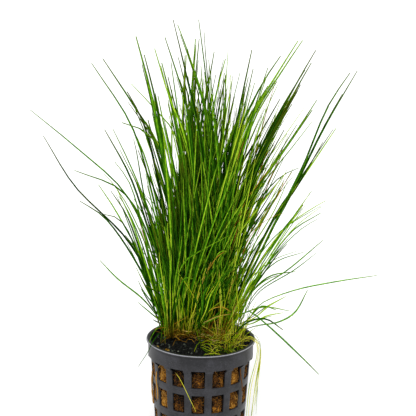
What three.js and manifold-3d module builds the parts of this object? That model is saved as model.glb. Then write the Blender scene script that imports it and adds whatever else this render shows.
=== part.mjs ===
// Potted dwarf hairgrass: a slotted nursery pot with a wool plug, a bed of dark granules and a tuft
// of thin tapering stems. Millimetres, +Z up. The origin is the middle of the pot's base, and the
// side of the pot that faces the viewer is towards -Y.
import * as THREE from 'three';
import { mergeVertices } from 'three/addons/utils/BufferGeometryUtils.js';
import Module from 'manifold-3d';

const wasm = await Module();
wasm.setup();

// Pot: overall sizes
const POT_HEIGHT = 50;
const RIM_RADIUS = 26;
const BASE_RADIUS = 21.1;
const WALL = 1.0;
const FLOOR = 1.2;
const POT_SEGMENTS = 30;

// Pot: the plain collar under the rim, and the chamfer that joins it to the slotted wall
const LIP_HEIGHT = 1.0;
const COLLAR_RADIUS = 25.1;
const COLLAR_BOTTOM = 41.4;
const WALL_TOP = 40.2;
const WALL_TOP_RADIUS = 23.7;

// Pot: slots in the wall and drain slots in the floor
const SLOT_COLUMNS = 15;
const SLOT_TURN = -2.1;
const SLOT_WIDTH = 6.1;
const SLOT_HEIGHT = 9.1;
const SLOT_TOPS = [42.2, 29.3, 16.4];
const DRAIN_COUNT = 6;
const DRAIN_LENGTH = 8;
const DRAIN_WIDTH = 3;
const DRAIN_RADIUS = 13;

// Filling: gap kept to the neighbour, wool plug, and the bed with its mound under the roots
const GAP = 0.35;
const BED_BOTTOM = 41.8;
const BED_RADIUS = COLLAR_RADIUS - WALL - GAP;
const BED_EDGE_TOP = 43.6;
const MOUND_RISE = 9.4;
const MOUND_CENTRE = [3, 11];
const MOUND_SPREAD = [24, 14];
const BED_RINGS = 6;
const BED_SEGMENTS = 24;

// Stems: thickness at the root and at the tip, and how finely they are made
const STEM_ROOT_RADIUS = 0.42;
const STEM_TIP_RADIUS = 0.16;
const STEM_SIDES = 3;
const MOST_STEPS = 5;
const CROWN_SIZE = [4.2, 1.5, 1.6];
const CROWN_FOOT = 0.25;

// Depth pages: the plantlets stand in rows, and each row leans out a little more than the one
// before it, like the pages of an open book, so that stems of two rows never meet
const PAGE_FRONT = 4.3;
const PAGE_STEP = 1.95;
const UPRIGHT_PAGE = 4.5;
const LEAN_PER_PAGE = 0.065;
const LEAN_AT_ROOT = 0.6;
const LEAN_GROWTH = 200;
const PAGE_PLAY = 0.34;

// Viewpoint of the photograph, whose frame is 416 pixels square: it turns a pixel into a sight line
const FRAME_CENTRE = 208;
const FOCAL_PIXELS = 1290.6;
const VIEW_DISTANCE = 600;
const VIEW_PITCH = THREE.MathUtils.degToRad(14.5);
const VIEW_ROLL = THREE.MathUtils.degToRad(0.93);
const AIM = new THREE.Vector3(2.4, 0, 113.8);

const COLOURS = {
  pot: { color: 0x3d3d42, roughness: 0.5, metalness: 0 },
  wool: { color: 0x8a5a18, roughness: 0.95, metalness: 0 },
  bed: { color: 0x191b16, roughness: 0.8, metalness: 0 },
  green: { color: 0x3f7a12, roughness: 0.45, metalness: 0 },
  young: { color: 0x7fa31c, roughness: 0.45, metalness: 0 },
};

// Plantlets in pages 0, at the front, to 8, at the back. root is the X of the crown in mm. A stem
// is a row of pixels of the photograph, X and Y in turn, from the tip downwards; a stem with its
// tip alone rises straight and then bows out to it. A stem that leaves its page is a row of
// points instead, each a pixel with its depth Y in mm.
const PLANTLETS = [
  { name: 'front_left', page: 0, root: -13, stems: [[158, 238], [168, 176], [163, 128],
    [176, 206], [150, 204]] },
  { name: 'front_arc', page: -1, root: -9, stems: [[227.9, 236.1, 202.6, 249.5, 184, 262, 177, 285],
    [178, 262], [194, 258], [186, 284]] },
  { name: 'front_middle', page: 0, root: -6, stems: [[186, 158], [197, 118], [191, 212], [206, 176],
    [196, 250]] },
  { name: 'front_right', page: -0.5, root: 2, stems: [[216, 222], [212, 130], [233, 148], [221, 168],
    [224.4, 253, 208.2, 290]] },
  { name: 'low_left', page: 1, root: -17, stems: [[104.2, 214.4, 120.5, 220.1], [110.9, 191, 128, 218],
    [117.6, 190.5, 132, 222], [114.7, 161.8, 130, 183.8], [145.7, 174.1]] },
  { name: 'tall_left', page: 1, root: -7, stems: [[136, 36.6, 149.7, 88, 162, 150], [153.8, 159.2],
    [144.3, 54.9, 157.1, 108.8], [122.7, 122.9, 147.2, 132.8, 166, 165], [148, 120], [158, 96]] },
  { name: 'tall_inner_left', page: 1, root: 3, stems: [[154.7, 48.7, 169.6, 98, 186.2, 142], [168, 77],
    [161.8, 63, 178, 130], [165, 37.4, 176.2, 71.5, 186.2, 104.6], [176, 140], [188, 168]] },
  { name: 'tall_middle', page: 1, root: 11, stems: [[173.1, 19.6, 186.3, 74.1, 200, 135],
    [177.7, 24.8, 190.4, 59.2, 208, 120], [198.7, 19.6, 205.3, 71.3, 213, 150], [208.7, 59.8],
    [204, 130], [216, 150]] },
  { name: 'middle_fork', page: 2, root: -11, stems: [[199.2, 39, 194.9, 83.9, 190, 140], [186.3, 55.2],
    [195.5, 39.1, 192, 90], [214.2, 51.7, 208.7, 83.9, 198, 150], [182, 130], [204, 112]] },
  { name: 'middle_right', page: 2, root: -3, stems: [[225.4, 59.2, 217.3, 89.6, 207, 150], [210, 150],
    [225.9, 74.7, 217, 120], [225.4, 78.7, 225, 120, 214, 190], [234.5, 96.8], [222, 190]] },
  { name: 'upper_right', page: 2, root: 5, stems: [[251.9, 49.9, 239.8, 107.5, 228, 170], [248.3, 77.1],
    [253.2, 68.7, 240, 130], [267.9, 67.8, 251, 120, 233, 190], [240, 150], [250, 180]] },
  { name: 'side_right', page: 2, root: 13, stems: [[311.5, 191.2, 293.7, 216.1, 262, 264],
    [325.6, 200.7, 307.8, 211.1, 282.9, 230, 256, 270], [321, 212.8, 290, 233], [262, 200],
    [287.4, 243.8, 278.3, 253.4, 252, 290]] },
  { name: 'far_left', page: 3, root: -17, stems: [[30.5, 110.1, 77.4, 148.4, 125.3, 193.3, 152, 255],
    [43.4, 135.9, 74.5, 185.7, 125.3, 237.4, 152, 284], [74.5, 170.4, 121.4, 190.5, 150, 240],
    [98.5, 184.7, 115.7, 210.6, 148, 272], [79.8, 201, 105, 218, 144, 276]] },
  { name: 'upper_left', page: 3, root: -9, stems: [[91.6, 63.2, 131.4, 125.4, 151.5, 191],
    [102.8, 58.6, 134.8, 107.1, 161.5, 153, 170, 230], [127.3, 91.8, 145, 127], [138, 150],
    [104.7, 129.7, 130, 176.1, 152, 240]] },
  { name: 'inner_left', page: 3, root: 0, stems: [[152, 132], [176, 172], [168, 104],
    [131.4, 83.9, 156.3, 110.4, 175.4, 134.5, 191, 200], [186, 120]] },
  { name: 'inner_middle', page: 3, root: 8, stems: [[178.3, 57.5, 193, 120], [192, 92], [201, 152],
    [210, 96], [214, 180]] },
  { name: 'heart_left', page: 4, root: -14, stems: [[172, 90], [185, 142], [160, 186], [193, 104],
    [176, 232]] },
  { name: 'far_upper_right', page: 4, root: -6, stems: [[280.4, 56.2, 262, 84, 232, 150], [240, 116],
    [297.9, 41, 274.6, 78, 243, 132], [302.5, 40.5, 282, 71, 247, 129], [276.9, 81.6, 255, 118],
    [228, 178]] },
  { name: 'thick_bundle', page: 4, root: 3, stems: [[315.7, 50.4, 297, 82.5, 267.5, 140, 238, 220],
    [311.3, 62.9, 294, 93, 265, 148, 236, 224], [305, 70, 284, 104, 256, 160], [292, 104, 262, 154],
    [284, 130, 252, 190], [262, 178]] },
  { name: 'outer_right', page: 4, root: 12, stems: [[350.1, 72.7, 328.2, 105.7, 303.6, 164.7, 272, 230],
    [357.2, 70.9, 324, 128, 292, 193, 265, 243], [335.8, 128.5, 303.6, 176.3, 274, 219],
    [322.7, 142.3, 298, 185, 266, 232], [303, 205, 268, 250]] },
  { name: 'low_right', page: 5, root: 17, stems: [[323.2, 240, 287.8, 269.7, 256, 292], [270, 262],
    [295.5, 271.6, 270, 276, 252, 292], [258, 236], [285.5, 296.5, 268.7, 306, 254, 318]] },
  { name: 'stray_left', page: 5, root: -16, stems: [[99.8, 260.2, 117.6, 278.6, 144, 300],
    [136, 267.1, 148, 292], [141.1, 288.9, 153, 308], [137.7, 302.1, 152, 314], [152, 236]] },
  { name: 'back_left', page: 5, root: -10, stems: [[112.8, 128.8, 130, 164.6, 152, 220], [152, 163.8],
    [124, 112, 146, 160], [140, 196], [164, 152]] },
  { name: 'back_inner_left', page: 5, root: -2, stems: [[149, 86, 165, 140], [171, 62, 180, 130],
    [160, 128], [182, 110], [174, 190]] },
  { name: 'back_middle', page: 5, root: 6, stems: [[188, 76], [201, 66], [198, 120], [214, 118],
    [206, 196]] },
  { name: 'heart_right', page: 6, root: -12, stems: [[190, 84], [204, 126], [180, 152], [214, 92],
    [196, 210]] },
  { name: 'back_upper_right', page: 6, root: -4, stems: [[316.6, 100.4, 290.7, 140, 250, 200],
    [297.4, 91.4, 276, 128, 240, 190], [312.1, 110.2, 283, 152, 246, 206], [232, 132],
    [280, 99, 261.3, 131.6, 234, 180]] },
  { name: 'back_right', page: 5, root: 12, stems: [[297, 124.5, 280, 152, 250, 208], [238, 160],
    [298.7, 168, 280, 177, 256, 208], [284.2, 179.6, 268, 211.9, 246, 250], [262, 140]] },
  { name: 'back_low_right', page: 6, root: 13, stems: [[304, 252, 276, 262, 250, 290], [272, 224],
    [291.7, 311.3, 263.9, 307, 246, 312], [283, 312.7, 266, 316, 250, 324], [250, 250]] },
  { name: 'rear_left', page: 7, root: -9, stems: [[120, 150, 142, 196], [134, 106, 154, 160],
    [152, 112], [170, 142], [158, 206]] },
  { name: 'rear_middle', page: 7, root: 0, stems: [[168, 100], [184, 78], [196, 134], [206, 86],
    [218, 124]] },
  { name: 'rear_right', page: 7, root: 9, stems: [[244, 92], [262, 116], [232, 140], [274, 158],
    [252, 196]] },
  { name: 'hind_left', page: 8, root: -4, stems: [[146, 138], [164, 118], [182, 146], [172, 178],
    [188, 198]] },
  { name: 'hind_right', page: 8, root: 5, stems: [[206, 112], [226, 104], [244, 134], [222, 164],
    [236, 190]] },
];

// Plantlets whose stems arch out towards the front and the back: root is the X and Y of the crown
const ARCHING = [
  { name: 'arch_front_left', root: [-14.4, 1.6], stems: [
    [[182, 236, -62], [180, 252, -40], [174, 290, -18]],
    [[158, 262, -50], [160, 276, -32], [165, 305, -15]],
    [[170, 250, -56], [170, 262, -38], [170, 296, -17]]] },
  { name: 'arch_front_right', root: [-3.2, 1.4], stems: [
    [[214, 292, -58], [208, 296, -38], [205, 312, -18]],
    [[200, 276, -52], [201, 286, -34], [201, 308, -17]],
    [[224, 272, -46], [217, 286, -30], [209, 310, -16]]] },
  { name: 'arch_back_left', root: [-10, 19.8], stems: [
    [[152, 176, 74], [160, 200, 52], [168, 250, 34]],
    [[142, 206, 66], [154, 226, 48], [166, 262, 32]]] },
  { name: 'arch_back_middle', root: [0.6, 21.9], stems: [
    [[190, 262, 62], [190, 272, 44], [196, 296, 31], [199, 309, 25]],
    [[206, 240, 66], [204, 254, 48], [202, 284, 32], [201.5, 306, 25]]] },
  { name: 'arch_back_right', root: [12, 18.9], stems: [
    [[238, 190, 70], [234, 215, 50], [228, 262, 33]],
    [[252, 214, 62], [243, 236, 46], [232, 272, 31]]] },
];

// Young plantlets of short fine stems that crowd the right side of the bed
const YOUNG = [
  { name: 'young_front', page: -6.8, root: 13, stems: [[226, 330], [233, 322], [240, 332], [247, 327],
    [251, 336]] },
  { name: 'young_middle', page: -4.4, root: 17, stems: [[232, 306], [240, 298], [247, 308], [251, 318],
    [258, 326]] },
  { name: 'young_inner', page: -3.1, root: 9, stems: [[222, 300], [229, 288], [236, 296], [214, 318],
    [242, 314]] },
  { name: 'young_back', page: -1.3, root: 19.5, stems: [[236, 282], [244, 272], [251, 286], [257, 300],
    [262, 262]] },
];

// Plantlets whose stems droop over the rim: root is the X and Y of the crown
const DROOPING = [
  { name: 'long_wavy', root: [17, 5.2], stems: [
    [[376.8, 275.4, -2], [335.7, 281.6, 0], [292.6, 290.7, 2], [259.1, 305, 4], [247, 322, 5]],
    [[307.5, 290.2, 1], [294.5, 312.7, 2], [278.3, 322, 3], [255.3, 326, 4.5]],
    [[276.4, 310, 1], [262, 306, 2], [249, 318, 4]]] },
  { name: 'down_right', root: [11.5, -5.4], stems: [
    [[318.9, 374.4, -12], [297.4, 352.9, -10], [263, 321.3, -7], [247.7, 310.8, -5], [238, 318, -4]],
    [[283, 330, -16], [266, 319, -13], [248, 322, -11.4]]] },
  { name: 'hanging_right', root: [18.5, -6.5], stems: [
    [[250, 424, -7], [255.4, 385, -7.5], [260.4, 352, -8], [257.4, 339.5, -8], [247, 335, -7]],
    [[246, 420, -10], [249.5, 385, -10.5], [257, 354, -11], [255.8, 341.2, -10.5], [245, 338, -8]],
    [[256, 414, -6], [258, 380, -6.2], [261, 350, -6.5], [257.5, 337, -6.5], [247, 332, -6.5]]] },
  { name: 'rim_left', root: [-18, -1.5], stems: [
    [[138, 367, -14], [148.5, 350.8, -13.4], [152.5, 342, -12], [161, 332, -6]],
    [[149, 342.6, -10], [153, 334, -9], [160, 326, -5]],
    [[157, 330, -4], [163, 318, -2]]] },
];

// A stem that has found its way out of a slot, from its root outwards
const SLOT_STEM = { name: 'slot_stem', points: [[175.3, 372.5, -21.5], [178.5, 376.8, -25.4],
  [182.3, 383.5, -25.8], [189.6, 398.6, -26.4], [196, 412, -28]] };

// Solid helpers
function toSolid(geometry) {
  const bare = geometry.index ? geometry.clone() : geometry;
  bare.deleteAttribute('normal');
  bare.deleteAttribute('uv');
  const joined = mergeVertices(bare, 1e-4);
  return new wasm.Manifold(new wasm.Mesh({
    numProp: 3,
    vertProperties: new Float32Array(joined.attributes.position.array),
    triVerts: new Uint32Array(joined.index.array),
  }));
}

// Stems that cross can shut in a tiny pocket. Only the outer skin is kept, so pockets are filled.
function outerSkin(solid) {
  return solid.decompose().reduce((best, piece) => (piece.volume() > best.volume() ? piece : best));
}

function toGeometry(solid) {
  const mesh = solid.getMesh();
  const geometry = new THREE.BufferGeometry();
  geometry.setAttribute('position', new THREE.BufferAttribute(mesh.vertProperties, 3));
  geometry.setIndex(new THREE.BufferAttribute(mesh.triVerts, 1));
  geometry.computeVertexNormals();
  return geometry;
}

function lathe(profile, segments) {
  const points = profile.map(([radius, height]) => new THREE.Vector2(radius, height));
  return new THREE.LatheGeometry(points, segments).rotateX(Math.PI / 2);
}

function named(name, geometry, colour) {
  const mesh = new THREE.Mesh(geometry, new THREE.MeshStandardMaterial(colour));
  mesh.name = name;
  return mesh;
}

// Pot
function outerRadius(height) {
  return BASE_RADIUS + (WALL_TOP_RADIUS - BASE_RADIUS) * height / WALL_TOP;
}

function pot() {
  const inner = COLLAR_RADIUS - WALL;
  let solid = toSolid(lathe([
    [0, 0],
    [BASE_RADIUS, 0],
    [WALL_TOP_RADIUS, WALL_TOP],
    [COLLAR_RADIUS, COLLAR_BOTTOM],
    [COLLAR_RADIUS, POT_HEIGHT - LIP_HEIGHT],
    [RIM_RADIUS, POT_HEIGHT - LIP_HEIGHT * 0.7],
    [RIM_RADIUS, POT_HEIGHT - LIP_HEIGHT * 0.2],
    [RIM_RADIUS - 0.4, POT_HEIGHT],
    [inner, POT_HEIGHT],
    [inner, COLLAR_BOTTOM],
    [WALL_TOP_RADIUS - WALL, WALL_TOP],
    [outerRadius(FLOOR) - WALL, FLOOR],
    [0, FLOOR],
  ], POT_SEGMENTS));
  for (let column = 0; column < SLOT_COLUMNS; column += 1) {
    const turn = THREE.MathUtils.degToRad(SLOT_TURN + column * 360 / SLOT_COLUMNS);
    for (const top of SLOT_TOPS) {
      const slot = new THREE.BoxGeometry(SLOT_WIDTH, 8, SLOT_HEIGHT);
      slot.translate(0, -outerRadius(top), top - SLOT_HEIGHT / 2).rotateZ(turn);
      solid = solid.subtract(toSolid(slot));
    }
  }
  for (let index = 0; index < DRAIN_COUNT; index += 1) {
    const drain = new THREE.BoxGeometry(DRAIN_WIDTH, DRAIN_LENGTH, 4 * FLOOR);
    drain.translate(0, DRAIN_RADIUS, 0).rotateZ(index * 2 * Math.PI / DRAIN_COUNT);
    solid = solid.subtract(toSolid(drain));
  }
  return named('pot', toGeometry(solid), COLOURS.pot);
}

// Filling
function woolPlug() {
  const bottom = FLOOR + GAP;
  return named('wool_plug', toGeometry(toSolid(lathe([
    [0, bottom],
    [outerRadius(bottom) - WALL - GAP, bottom],
    [WALL_TOP_RADIUS - WALL - GAP, WALL_TOP],
    [WALL_TOP_RADIUS - WALL - GAP, BED_BOTTOM - GAP],
    [0, BED_BOTTOM - GAP],
  ], POT_SEGMENTS))), COLOURS.wool);
}

function bedHeight(x, y) {
  const across = (x - MOUND_CENTRE[0]) / MOUND_SPREAD[0];
  const along = (y - MOUND_CENTRE[1]) / MOUND_SPREAD[1];
  return BED_EDGE_TOP + MOUND_RISE * Math.exp(-across * across - along * along);
}

function granuleBed() {
  const profile = [[0, BED_BOTTOM], [BED_RADIUS, BED_BOTTOM]];
  for (let ring = BED_RINGS; ring >= 0; ring -= 1) {
    profile.push([BED_RADIUS * ring / BED_RINGS, BED_EDGE_TOP]);
  }
  const geometry = lathe(profile, BED_SEGMENTS);
  const place = geometry.attributes.position;
  for (let index = 0; index < place.count; index += 1) {
    if (place.getZ(index) > BED_BOTTOM + 0.1) {
      place.setZ(index, bedHeight(place.getX(index), place.getY(index)));
    }
  }
  return named('granule_bed', toGeometry(toSolid(geometry)), COLOURS.bed);
}

// Depth and places
function pageDepth(page, height) {
  const rise = Math.max(0, height - POT_HEIGHT);
  const lean = (page - UPRIGHT_PAGE) * LEAN_PER_PAGE;
  return PAGE_FRONT + PAGE_STEP * page + lean * rise * (LEAN_AT_ROOT + rise / LEAN_GROWTH);
}

function sightLine(px, py) {
  const right = new THREE.Vector3(1, 0, 0);
  const forward = new THREE.Vector3(0, Math.cos(VIEW_PITCH), -Math.sin(VIEW_PITCH));
  const up = new THREE.Vector3().crossVectors(right, forward);
  const eye = AIM.clone().addScaledVector(forward, -VIEW_DISTANCE);
  const across = px - FRAME_CENTRE;
  const down = py - FRAME_CENTRE;
  const direction = forward.multiplyScalar(FOCAL_PIXELS)
    .addScaledVector(right, Math.cos(VIEW_ROLL) * across + Math.sin(VIEW_ROLL) * down)
    .addScaledVector(up, Math.sin(VIEW_ROLL) * across - Math.cos(VIEW_ROLL) * down);
  return { eye, direction };
}

function pointAtDepth(px, py, depth) {
  const { eye, direction } = sightLine(px, py);
  return eye.addScaledVector(direction, (depth - eye.y) / direction.y);
}

function pointOnPage(px, py, page) {
  let point = pointAtDepth(px, py, 0);
  for (let turn = 0; turn < 8; turn += 1) {
    point = pointAtDepth(px, py, pageDepth(page, point.z));
  }
  return point;
}

// Stems and plantlets
function stem(points) {
  const curve = new THREE.CatmullRomCurve3(points, false, 'centripetal');
  const steps = Math.min(MOST_STEPS, points.length);
  const geometry = new THREE.CylinderGeometry(
    STEM_TIP_RADIUS, STEM_ROOT_RADIUS, 1, STEM_SIDES, steps);
  const frames = curve.computeFrenetFrames(steps, false);
  const place = geometry.attributes.position;
  for (let index = 0; index < place.count; index += 1) {
    const along = Math.min(1, Math.max(0, place.getY(index) + 0.5));
    const frame = Math.round(along * steps);
    const spot = curve.getPointAt(along)
      .addScaledVector(frames.normals[frame], place.getX(index))
      .addScaledVector(frames.binormals[frame], -place.getZ(index));
    place.setXYZ(index, spot.x, spot.y, spot.z);
  }
  return toSolid(geometry);
}

function crown(root) {
  const geometry = new THREE.CylinderGeometry(0.5, 0.5 * CROWN_FOOT, 1, 6);
  geometry.rotateX(Math.PI / 2).scale(...CROWN_SIZE);
  geometry.translate(root.x, root.y, root.z + CROWN_SIZE[2] / 2);
  return toSolid(geometry);
}

function rootPoint(x, y) {
  return new THREE.Vector3(x, y, bedHeight(x, y) + GAP + 0.1);
}

// The stems leave the flat crown side by side, in the order of their tips from left to right
function startPoint(root, place, count) {
  const across = CROWN_SIZE[0] * 0.8 * ((place + 0.5) / count - 0.5);
  const along = CROWN_SIZE[1] * (place % 2 ? 0.2 : -0.2);
  return new THREE.Vector3(root.x + across, root.y + along, root.z + CROWN_SIZE[2] * 0.6);
}

function orderOf(stems, tipOf) {
  const tips = stems.map(tipOf);
  return tips.map((tip, index) => tips.filter(
    (other, place) => other < tip || (other === tip && place < index)).length);
}

function spreadOf(index) {
  return PAGE_PLAY * (2 * ((index * 0.618 + 0.3) % 1) - 1);
}

// A stem given by its tip alone rises to 55% of the height with 36% of the sideways reach
function stemPoints(start, pixels, page) {
  if (Array.isArray(pixels[0])) {
    return [start, ...pixels.map((pixel) => pointAtDepth(...pixel)).reverse()];
  }
  const points = [];
  for (let index = pixels.length - 2; index >= 0; index -= 2) {
    points.push(pointOnPage(pixels[index], pixels[index + 1], page));
  }
  if (points.length === 1) {
    const tip = points[0];
    const middle = new THREE.Vector3(
      THREE.MathUtils.lerp(start.x, tip.x, 0.36), 0, THREE.MathUtils.lerp(start.z, tip.z, 0.55));
    middle.y = pageDepth(page, middle.z);
    points.unshift(middle);
  }
  return [start, ...points];
}

function plantlet(row, colour) {
  const root = Array.isArray(row.root) ? rootPoint(...row.root)
    : rootPoint(row.root, PAGE_FRONT + PAGE_STEP * row.page);
  const order = orderOf(row.stems, (pixels) => pixels.flat()[0]);
  let solid = crown(root);
  row.stems.forEach((pixels, index) => {
    const start = startPoint(root, order[index], row.stems.length);
    solid = solid.add(stem(stemPoints(start, pixels, row.page + spreadOf(index))));
  });
  return named(`plantlet_${row.name}`, toGeometry(outerSkin(solid)), colour);
}

function slotStem() {
  const points = SLOT_STEM.points.map((pixel) => pointAtDepth(...pixel));
  return named(SLOT_STEM.name, toGeometry(stem(points)), COLOURS.young);
}

const hairgrass = new THREE.Group();
hairgrass.add(pot(), woolPlug(), granuleBed());
PLANTLETS.forEach((row) => hairgrass.add(plantlet(row, COLOURS.green)));
YOUNG.forEach((row) => hairgrass.add(plantlet(row, COLOURS.young)));
ARCHING.forEach((row) => hairgrass.add(plantlet(row, COLOURS.green)));
DROOPING.forEach((row) => hairgrass.add(plantlet(row, COLOURS.young)));
hairgrass.add(slotStem());

export default hairgrass;
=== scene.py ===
# %% [markdown]
# # Potted dwarf hairgrass
# The subject is a small aquarium plant in the slotted pot it is sold in. Thin round stems rise from
# a heap of dark granules, and brown rock wool shows through the slots. Everything is built round
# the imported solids, which give the places and the sizes, so the first step loads them.

# %% Load the frame
import math

import bmesh
import bpy
import numpy as np
from mathutils import Matrix, Vector, noise


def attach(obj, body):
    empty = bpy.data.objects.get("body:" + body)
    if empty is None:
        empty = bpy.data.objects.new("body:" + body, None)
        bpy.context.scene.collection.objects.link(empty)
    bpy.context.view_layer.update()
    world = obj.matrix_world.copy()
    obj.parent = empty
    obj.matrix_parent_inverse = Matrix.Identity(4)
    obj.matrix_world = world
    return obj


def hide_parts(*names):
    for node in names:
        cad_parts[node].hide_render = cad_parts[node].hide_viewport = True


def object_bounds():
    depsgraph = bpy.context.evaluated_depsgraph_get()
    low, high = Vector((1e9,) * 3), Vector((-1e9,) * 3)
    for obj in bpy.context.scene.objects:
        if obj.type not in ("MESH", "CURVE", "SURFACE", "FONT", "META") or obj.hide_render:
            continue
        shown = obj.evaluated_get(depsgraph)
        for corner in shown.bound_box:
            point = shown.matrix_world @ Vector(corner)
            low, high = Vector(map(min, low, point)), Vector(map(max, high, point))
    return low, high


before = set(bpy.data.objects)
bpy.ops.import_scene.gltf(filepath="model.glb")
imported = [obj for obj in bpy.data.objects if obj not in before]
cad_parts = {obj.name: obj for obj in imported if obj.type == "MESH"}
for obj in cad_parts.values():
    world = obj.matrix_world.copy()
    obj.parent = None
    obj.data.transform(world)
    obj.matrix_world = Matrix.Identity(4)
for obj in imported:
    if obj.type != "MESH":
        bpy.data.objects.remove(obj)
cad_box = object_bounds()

MM = 0.001
print("solids:", len(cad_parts), "box in metres:", [list(corner) for corner in cad_box])

# %% [markdown]
# ## The photograph's viewpoint
# The rim of the pot is a circle that shows as an ellipse, and the ratio of its axes gives the angle
# of sight. The camera stands 600 mm away, looks 14.5 degrees down and is turned by a degree. The
# same four numbers turn a pixel of the photograph and a depth into a point, which is how the
# single stems are placed, so they are kept as plain values before a camera is made from them.

# %% Camera
FRAME_CENTRE = 208
FRAME_PIXELS = 416
FOCAL_PIXELS = 1290.6
VIEW_DISTANCE = 600.0
VIEW_PITCH = math.radians(14.5)
VIEW_ROLL = math.radians(0.93)
AIM = np.array([2.4, 0.0, 113.8])
SENSOR = 36.0

view_right = np.array([1.0, 0.0, 0.0])
view_forward = np.array([0.0, math.cos(VIEW_PITCH), -math.sin(VIEW_PITCH)])
view_up = np.cross(view_right, view_forward)
eye = AIM - VIEW_DISTANCE * view_forward
frame_right = math.cos(VIEW_ROLL) * view_right + math.sin(VIEW_ROLL) * view_up
frame_up = math.cos(VIEW_ROLL) * view_up - math.sin(VIEW_ROLL) * view_right


def make_camera():
    data = bpy.data.cameras.new("camera")
    data.sensor_width = SENSOR
    data.lens = FOCAL_PIXELS / FRAME_PIXELS * SENSOR
    data.clip_start = 0.01
    data.clip_end = 60.0
    camera = bpy.data.objects.new("camera", data)
    bpy.context.collection.objects.link(camera)
    turn = Matrix([frame_right, frame_up, -view_forward]).transposed()
    camera.matrix_world = Matrix.Translation(Vector(eye * MM)) @ turn.to_4x4()
    bpy.context.scene.camera = camera
    return camera


camera = make_camera()
print("lens in millimetres:", round(camera.data.lens, 2))

# %% [markdown]
# ## Shader maths as expressions
# A material's noise, masks and colours are easier to read as sums than as a list of links. One
# small class wraps a socket, so that `1 - mask` adds the Math node by itself. Colours go through
# Mix nodes, because a Math node would turn them grey.

# %% Sockets with arithmetic
class Wire:
    """An output socket of a node tree that can be added, multiplied and so on."""

    def __init__(self, tree, socket):
        self.tree = tree
        self.socket = socket

    def maths(self, operation, first, second):
        return node(self.tree, "ShaderNodeMath", {"operation": operation}, {0: first, 1: second})

    def __add__(self, other):
        return self.maths("ADD", self, other)

    def __radd__(self, other):
        return self.maths("ADD", other, self)

    def __sub__(self, other):
        return self.maths("SUBTRACT", self, other)

    def __rsub__(self, other):
        return self.maths("SUBTRACT", other, self)

    def __mul__(self, other):
        return self.maths("MULTIPLY", self, other)

    def __rmul__(self, other):
        return self.maths("MULTIPLY", other, self)

    def clamped(self):
        return self.maths("MINIMUM", self.maths("MAXIMUM", self, 0.0), 1.0)

    def rising(self, start, width):
        """A mask that is 0 up to start and has risen to 1 over the width."""
        return (self * (1 / width) - start / width).clamped()

    def ramp(self, stops):
        """The colour at this value between (position, hex colour) stops."""
        return node(self.tree, "ShaderNodeValToRGB", {"stops": stops}, {"Fac": self})

    def mix(self, low, high):
        """The colour low where this mask is 0 and high where it is 1."""
        return node(self.tree, "ShaderNodeMix", {"data_type": "RGBA"},
                    {"Factor": self, "A": low, "B": high}, "Result")


def socket_of(sockets, key):
    """The enabled socket of that name, or the one at that place."""
    if isinstance(key, int):
        return sockets[key]
    return next(one for one in sockets if one.name == key and one.enabled)


def node(tree, kind, settings, values, output=0):
    """Adds a node, sets its settings, then its sockets, and wraps one of its outputs.

    A socket takes a Wire, a number, a vector or a hex colour.
    """
    made = tree.nodes.new(kind)
    for key, value in settings.items():
        if key == "stops":
            set_stops(made.color_ramp, value)
        else:
            setattr(made, key, value)
    for key, value in values.items():
        target = socket_of(made.inputs, key)
        if isinstance(value, Wire):
            tree.links.new(value.socket, target)
        else:
            target.default_value = colour(value) if isinstance(value, str) else value
    return Wire(tree, socket_of(made.outputs, output))


def set_stops(ramp, stops):
    while len(ramp.elements) < len(stops):
        ramp.elements.new(0.5)
    for element, (position, code) in zip(ramp.elements, stops):
        element.position = position
        element.color = colour(code)


def colour(code):
    """A hex colour as screens show it, turned into the light it stands for."""
    parts = [int(code[place:place + 2], 16) / 255 for place in (0, 2, 4)]
    return tuple([part / 12.92 if part <= 0.04045 else ((part + 0.055) / 1.055) ** 2.4
                  for part in parts] + [1.0])


def new_material(name, base, roughness, specular):
    """A material with constants on its shader's own sockets, its tree and its shader."""
    material = bpy.data.materials.new(name)
    material.use_nodes = True
    material.diffuse_color = base
    shader = material.node_tree.nodes["Principled BSDF"]
    shader.inputs["Base Color"].default_value = base
    shader.inputs["Roughness"].default_value = roughness
    shader.inputs["Specular IOR Level"].default_value = specular
    return material, material.node_tree, shader


def feed(tree, shader, shade, roughness=None, bump=None):
    """Links wires to the shader; a bump is a height with its strength and its distance."""
    tree.links.new(shade.socket, shader.inputs["Base Color"])
    if roughness:
        tree.links.new(roughness.socket, shader.inputs["Roughness"])
    if bump:
        height, strength, distance = bump
        bumped = node(tree, "ShaderNodeBump", {}, {"Strength": strength, "Distance": distance,
                                                   "Height": height}, "Normal")
        tree.links.new(bumped.socket, shader.inputs["Normal"])


def attribute(tree, name):
    return node(tree, "ShaderNodeAttribute", {"attribute_name": name}, {}, "Fac")


def grain(tree, scale, detail=3.0, stretch=(1.0, 1.0, 1.0)):
    """Cloudy noise in the object's own space, with scale in features per metre."""
    place = node(tree, "ShaderNodeTexCoord", {}, {}, "Object")
    spread = node(tree, "ShaderNodeMapping", {}, {"Vector": place, "Scale": stretch}, "Vector")
    return node(tree, "ShaderNodeTexNoise", {}, {"Vector": spread, "Scale": scale,
                                                "Detail": detail}, "Fac")


print("socket class ready")

# %% [markdown]
# ## Finishes
# A hairgrass stem is a green quill: pale and brownish where it leaves the crown, deep green in the
# middle and lighter at its tip. Stems differ more from one another than along their own length, so
# every stem carries three numbers on its points: `along` from root to tip, `tone` for its own shade
# and a third for painted light and shade across it, one side lighter and the other darker, turned
# at random from stem to stem. The material reads all three, which keeps hundreds of stems in one
# material with no image.

# %% Stem finishes
FLANK_SHADE = 0.3
FINE_BUMP = 0.0001


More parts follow.
